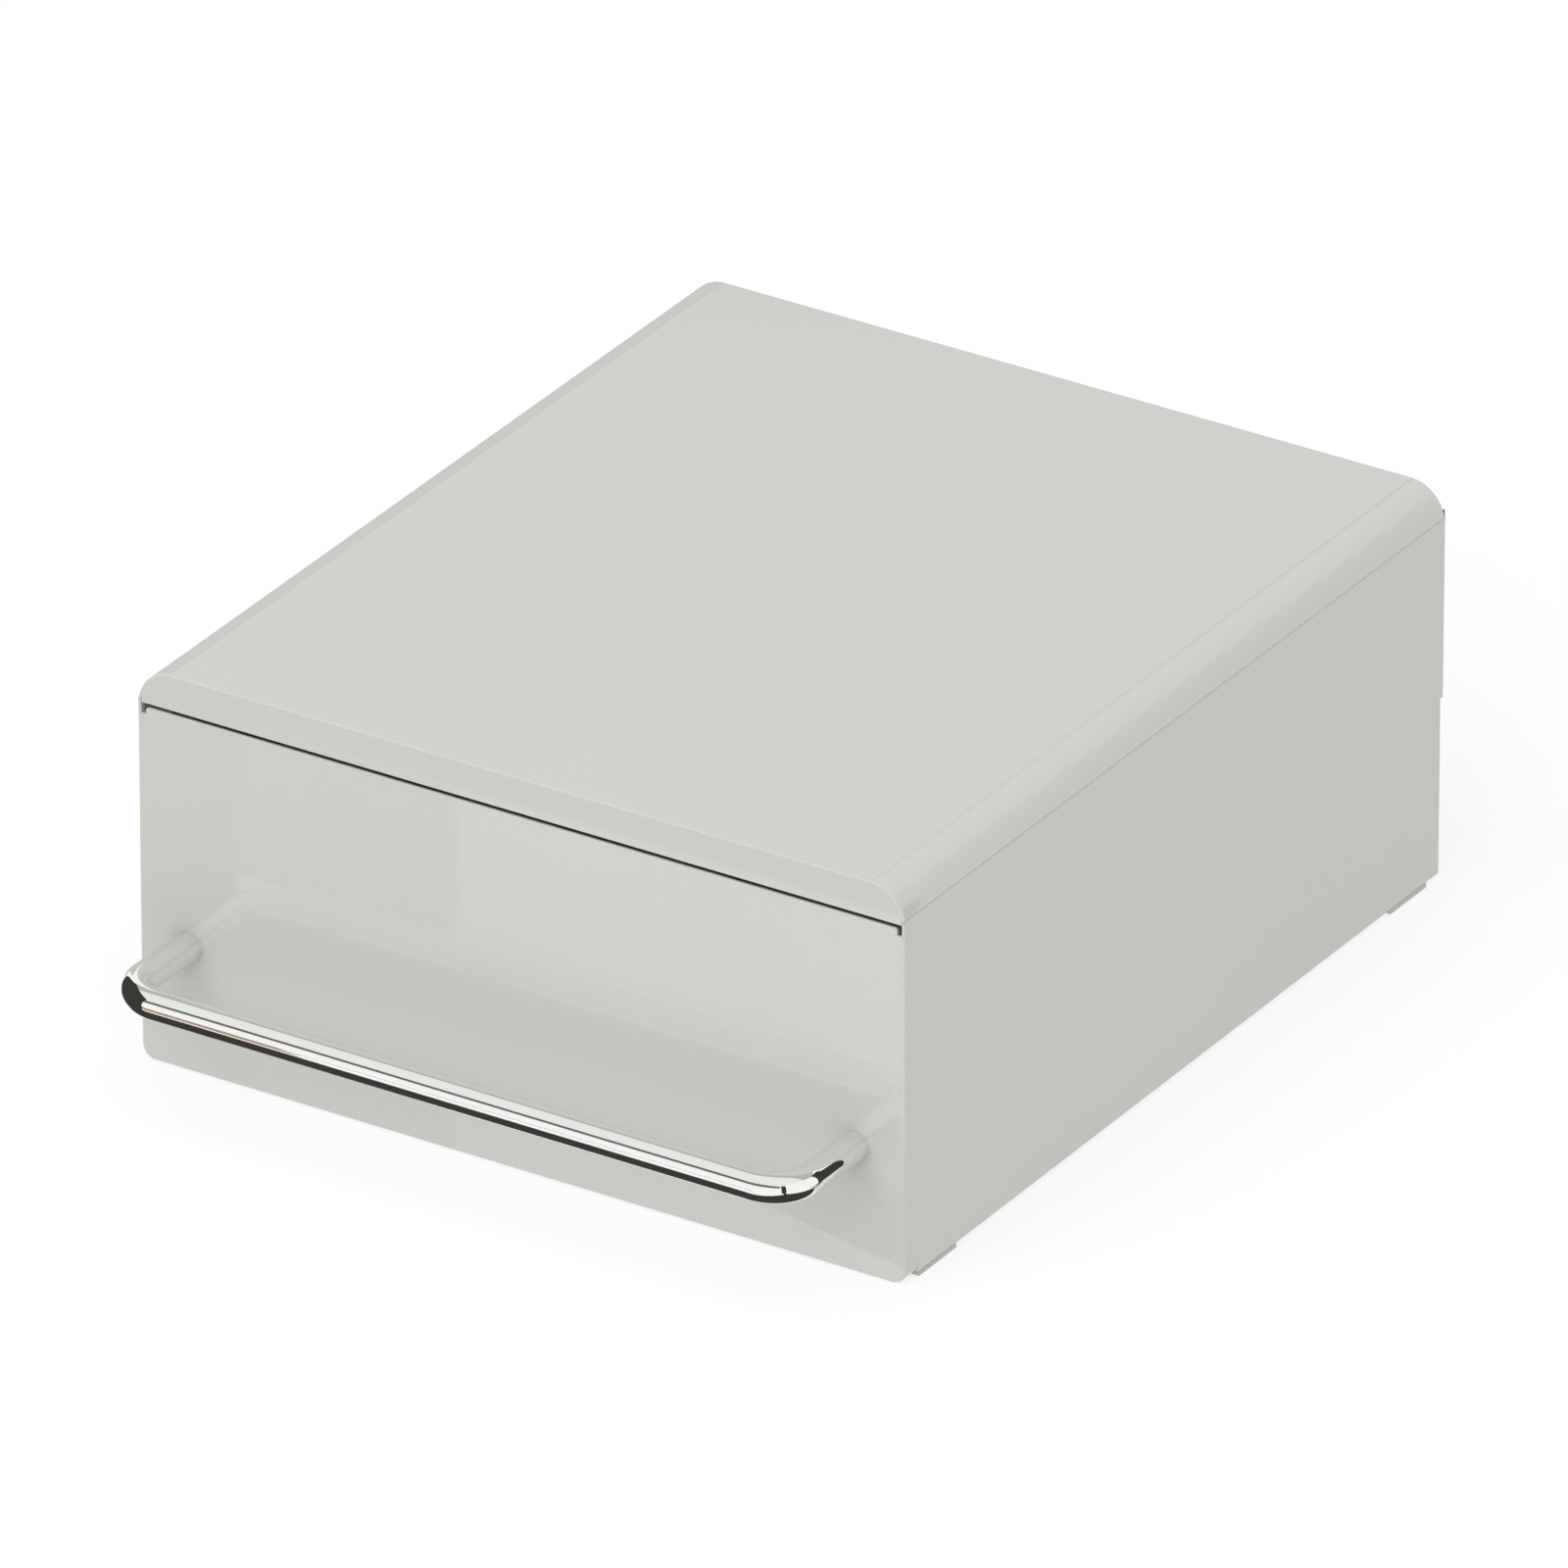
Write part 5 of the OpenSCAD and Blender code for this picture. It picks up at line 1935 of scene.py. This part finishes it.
@dataclass(frozen=True)
class Studio:
    """A white floor, soft light from all round, the camera, and glowing cards that paint reflections."""

    azimuth: float = 32.208
    elevation: float = 27.689
    camera_place: Place = (3.3211, -5.2606, 3.3231)
    lens: float = 658.1
    sensor: float = 36.0
    view_reach: float = 200.0
    world_level: float = 0.66
    floor_half: float = 40.0
    floor_tone: float = 0.32
    floor_lift: float = 0.71
    floor_fill: float = 0.64
    lamp: Lamp = Lamp("front_lamp", (0.1, -3.0, 4.2), 5.5, 136.0)

    def build(self) -> None:
        """Sets the stage."""
        bpy.context.scene.view_settings.view_transform = "Standard"
        self.surround()
        self.floor()
        self.camera()
        self.lamp.build()
        for card in self.cards():
            card.build()

    def white_rays(self, canvas: Canvas) -> Socket:
        """A mask of the rays that see plain white.

        Args:
            canvas: The canvas of the shader.

        Returns:
            The mask, 1 for these rays.
        """
        rays = canvas.node("ShaderNodeLightPath")
        seen = [rays.outputs[reach.value] for reach in Reach]
        return canvas.sum("MAXIMUM", seen[0], canvas.sum("MAXIMUM", seen[1], seen[2]))

    def surround(self) -> None:
        """Lights the world evenly, and shows it as white."""
        world = bpy.data.worlds.new("surround")
        world.use_nodes = True
        world.node_tree.nodes.clear()
        canvas = Canvas(world.node_tree)
        level, white = (
            canvas.node("ShaderNodeBackground", {"Color": WHITE, "Strength": strength}).outputs[0]
            for strength in (self.world_level, FULL)
        )
        mixed = canvas.node("ShaderNodeMixShader", {0: self.white_rays(canvas), 1: level, 2: white})
        canvas.node("ShaderNodeOutputWorld", {0: mixed.outputs[0]})
        bpy.context.scene.world = world

    def floor(self) -> None:
        """Lays the pale floor, which keeps the box's soft shadow."""
        mesh = bpy.data.meshes.new("floor")
        corners = rectangle((-self.floor_half, -self.floor_half), (self.floor_half, self.floor_half))
        mesh.from_pydata([(x, y, 0) for x, y in corners], [], [(0, 1, 2, 3)])
        canvas = FinishCanvas("pale_floor")
        matt = canvas.node("ShaderNodeBsdfDiffuse", {"Color": (self.floor_tone,) * 3 + (1.0,)}).outputs[0]
        extra = canvas.times(self.white_rays(canvas), self.floor_lift - self.floor_fill)
        lift = canvas.plus(extra, self.floor_fill)
        glow = canvas.node("ShaderNodeEmission", {"Color": WHITE, "Strength": lift}).outputs[0]
        mesh.materials.append(canvas.surface(canvas.node("ShaderNodeAddShader", {0: matt, 1: glow})))
        obj = bpy.data.objects.new("floor", mesh)
        bpy.context.scene.collection.objects.link(obj)

    def camera(self) -> None:
        """Places the camera."""
        turn, tilt = math.radians(self.azimuth), math.radians(self.elevation)
        right = Vector((math.cos(turn), math.sin(turn), 0))
        away = Vector((math.sin(turn) * math.cos(tilt), -math.cos(turn) * math.cos(tilt), math.sin(tilt)))
        data = bpy.data.cameras.new("camera")
        data.lens, data.sensor_width, data.clip_end = self.lens, self.sensor, self.view_reach
        obj = bpy.data.objects.new("camera", data)
        turned = Matrix((right, away.cross(right), away)).transposed().to_4x4()
        obj.matrix_world = Matrix.Translation(self.camera_place) @ turned
        bpy.context.scene.collection.objects.link(obj)
        bpy.context.scene.camera = obj

    def cards(self) -> list[Card]:
        """The painted reflections in the handle and the drawer front: glowing cards that only glossy rays see.

        Returns:
            Dark strips and wedges on the floor round the handle, which paint the floor's shade into the reflections,
            warm and dark cards before the box's left half, which paint a warm shade into the front, dark flags beside
            the handle and a grey strip before it, which paint dark reflections, the pale and grey cards over and
            behind the box, a bright one behind its shoulder, which paints a highlight on it, and a grey card that
            paints the floor beside it darker.
        """
        face = PLAN.front_y
        near, far, shade_near, shade_end, ahead = face - 17, face - 78, face - 93, face - 160, face - 100
        left, right = (-96.0, face - 34, 35.0), (96.0, face - 24, 35.0)
        # Tones of the painted reflections: the dark, warm and grey ones paint shade, and the bright one a highlight.
        dark, fine, warm = (0.046, 0.044, 0.04, 1.0), (0.16, 0.157, 0.15, 1.0), (0.42, 0.33, 0.24, 1.0)
        reflected_shade, grey, deep_grey = (0.6, 0.55, 0.5, 1.0), (0.6, 0.6, 0.59, 1.0), (0.5, 0.5, 0.49, 1.0)
        pale, bright, beside = (0.89, 0.89, 0.87, 1.0), (1.35, 1.35, 1.33, 1.0), (0.75, 0.75, 0.74, 1.0)
        strip, low, sky, distant = 0.3, 0.2, 2600.0, 3000.0
        corner = ((62, near), (62, far), (160, far), (172, face + 8), (124, face - 4))
        ahead_outline = ((-78.6, shade_near), (-121, shade_end), (-330, shade_end), (-205, shade_near))
        behind_outline = ((-150, face + 40), (-3000, face + 1500), (-3000, 6000), (-150, 6000))
        upright = tuple((x, ahead, z) for x, z in rectangle((-150, 67.6), (155, 93.7)))
        return [
            # Painted shade: dark cards on the floor round the handle, which only the reflections show.
            Card.lying("floor_strip", dark, strip, (-132, near), (-132, far), (62, far), (62, near)),
            Card.lying("floor_corner", dark, strip, *corner),
            Card.lying("floor_left", dark, strip, (-132, near), (-227, face + 58), (-192, face - 162), (-132, far)),
            # Painted warm shade in the front's reflection before the box's left half, and a dark strip further off.
            Card.lying("haze_ahead", warm, low, *ahead_outline),
            Card.lying("haze_below", reflected_shade, low, (-20.67, face), (-31.4, near), (-128, near), (-112, face)),
            Card.lying("haze_far", dark, low, *rectangle((-330, face - 178), (60, face - 161))),
            # Painted shade on the floor to the right of the handle, which only the reflections show.
            Card.lying("floor_wedge", dark, strip, (130, face - 52), (249, face - 152), (226, face - 176)),
            Card.lying("floor_right", dark, strip, (150, face - 10), (225, face + 53), (202, face + 82)),
            # Painted dark reflections in the chrome: flags beside the handle and a dark strip before it, which shade
            # nothing.
            Card.standing("left_flag", dark, left, (-125, -37), (-16, 41), 85),
            Card.standing("gap_flag", dark, right, (40.5, 50), (-9.8, 33), 112),
            Card.standing("right_flag", dark, right, (121, 146), (-13, 40), 88),
            Card("fine_flag", fine, upright),
            # Painted reflections of a pale and a grey room over the box and behind it.
            Card.lying("pale_above", pale, sky, *rectangle((-4000, -3000), (3000, 280))),
            Card.lying("grey_above", deep_grey, sky, *rectangle((-4000, 280), (3000, 1900))),
            Card.lying("floor_behind", grey, low, *behind_outline),
            Card.standing("grey_behind", grey, (-110, 0, 105), (-172, -126), (-2, 24), distant),
            # Painted highlight on the right shoulder: a card brighter than white, which lights nothing.
            Card.standing("softbox_behind", bright, (105, 0, 106), (149, 197), (28, 60), distant),
            # Painted shade: in reflections, the floor beside the box shows darker than it is.
            Card.lying("floor_beside", beside, 0.25, *rectangle((111, face), (300, 400))),
        ]


# --------------------------------------------------------------------------------------------------- the build


def main() -> None:
    """Builds the box and its studio, and reports each piece."""
    logging.basicConfig(level=logging.INFO, format="%(message)s", stream=sys.stdout)
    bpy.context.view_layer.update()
    finishes = Finishes()
    TopCover().build(finishes.front)
    for side in Side:
        SidePanel().build(finishes.shell, side)
        Rail().build(finishes.runner, side)
    back = BackPanel()
    back.build(finishes.shell)
    back.buffers(finishes.foot)
    BasePanel().build(finishes.inner)
    Feet().build(finishes.foot)
    screws = Screws()
    screws.hold_cover(finishes.zinc)
    screws.hold_back(finishes.zinc)
    DrawerTub().build(finishes.inner)
    DrawerFront().build(finishes.front)
    screws.hold_front(finishes.zinc)
    Handle().build(finishes.chrome, finishes.zinc)
    Studio().build()


if __name__ == "__main__":
    main()
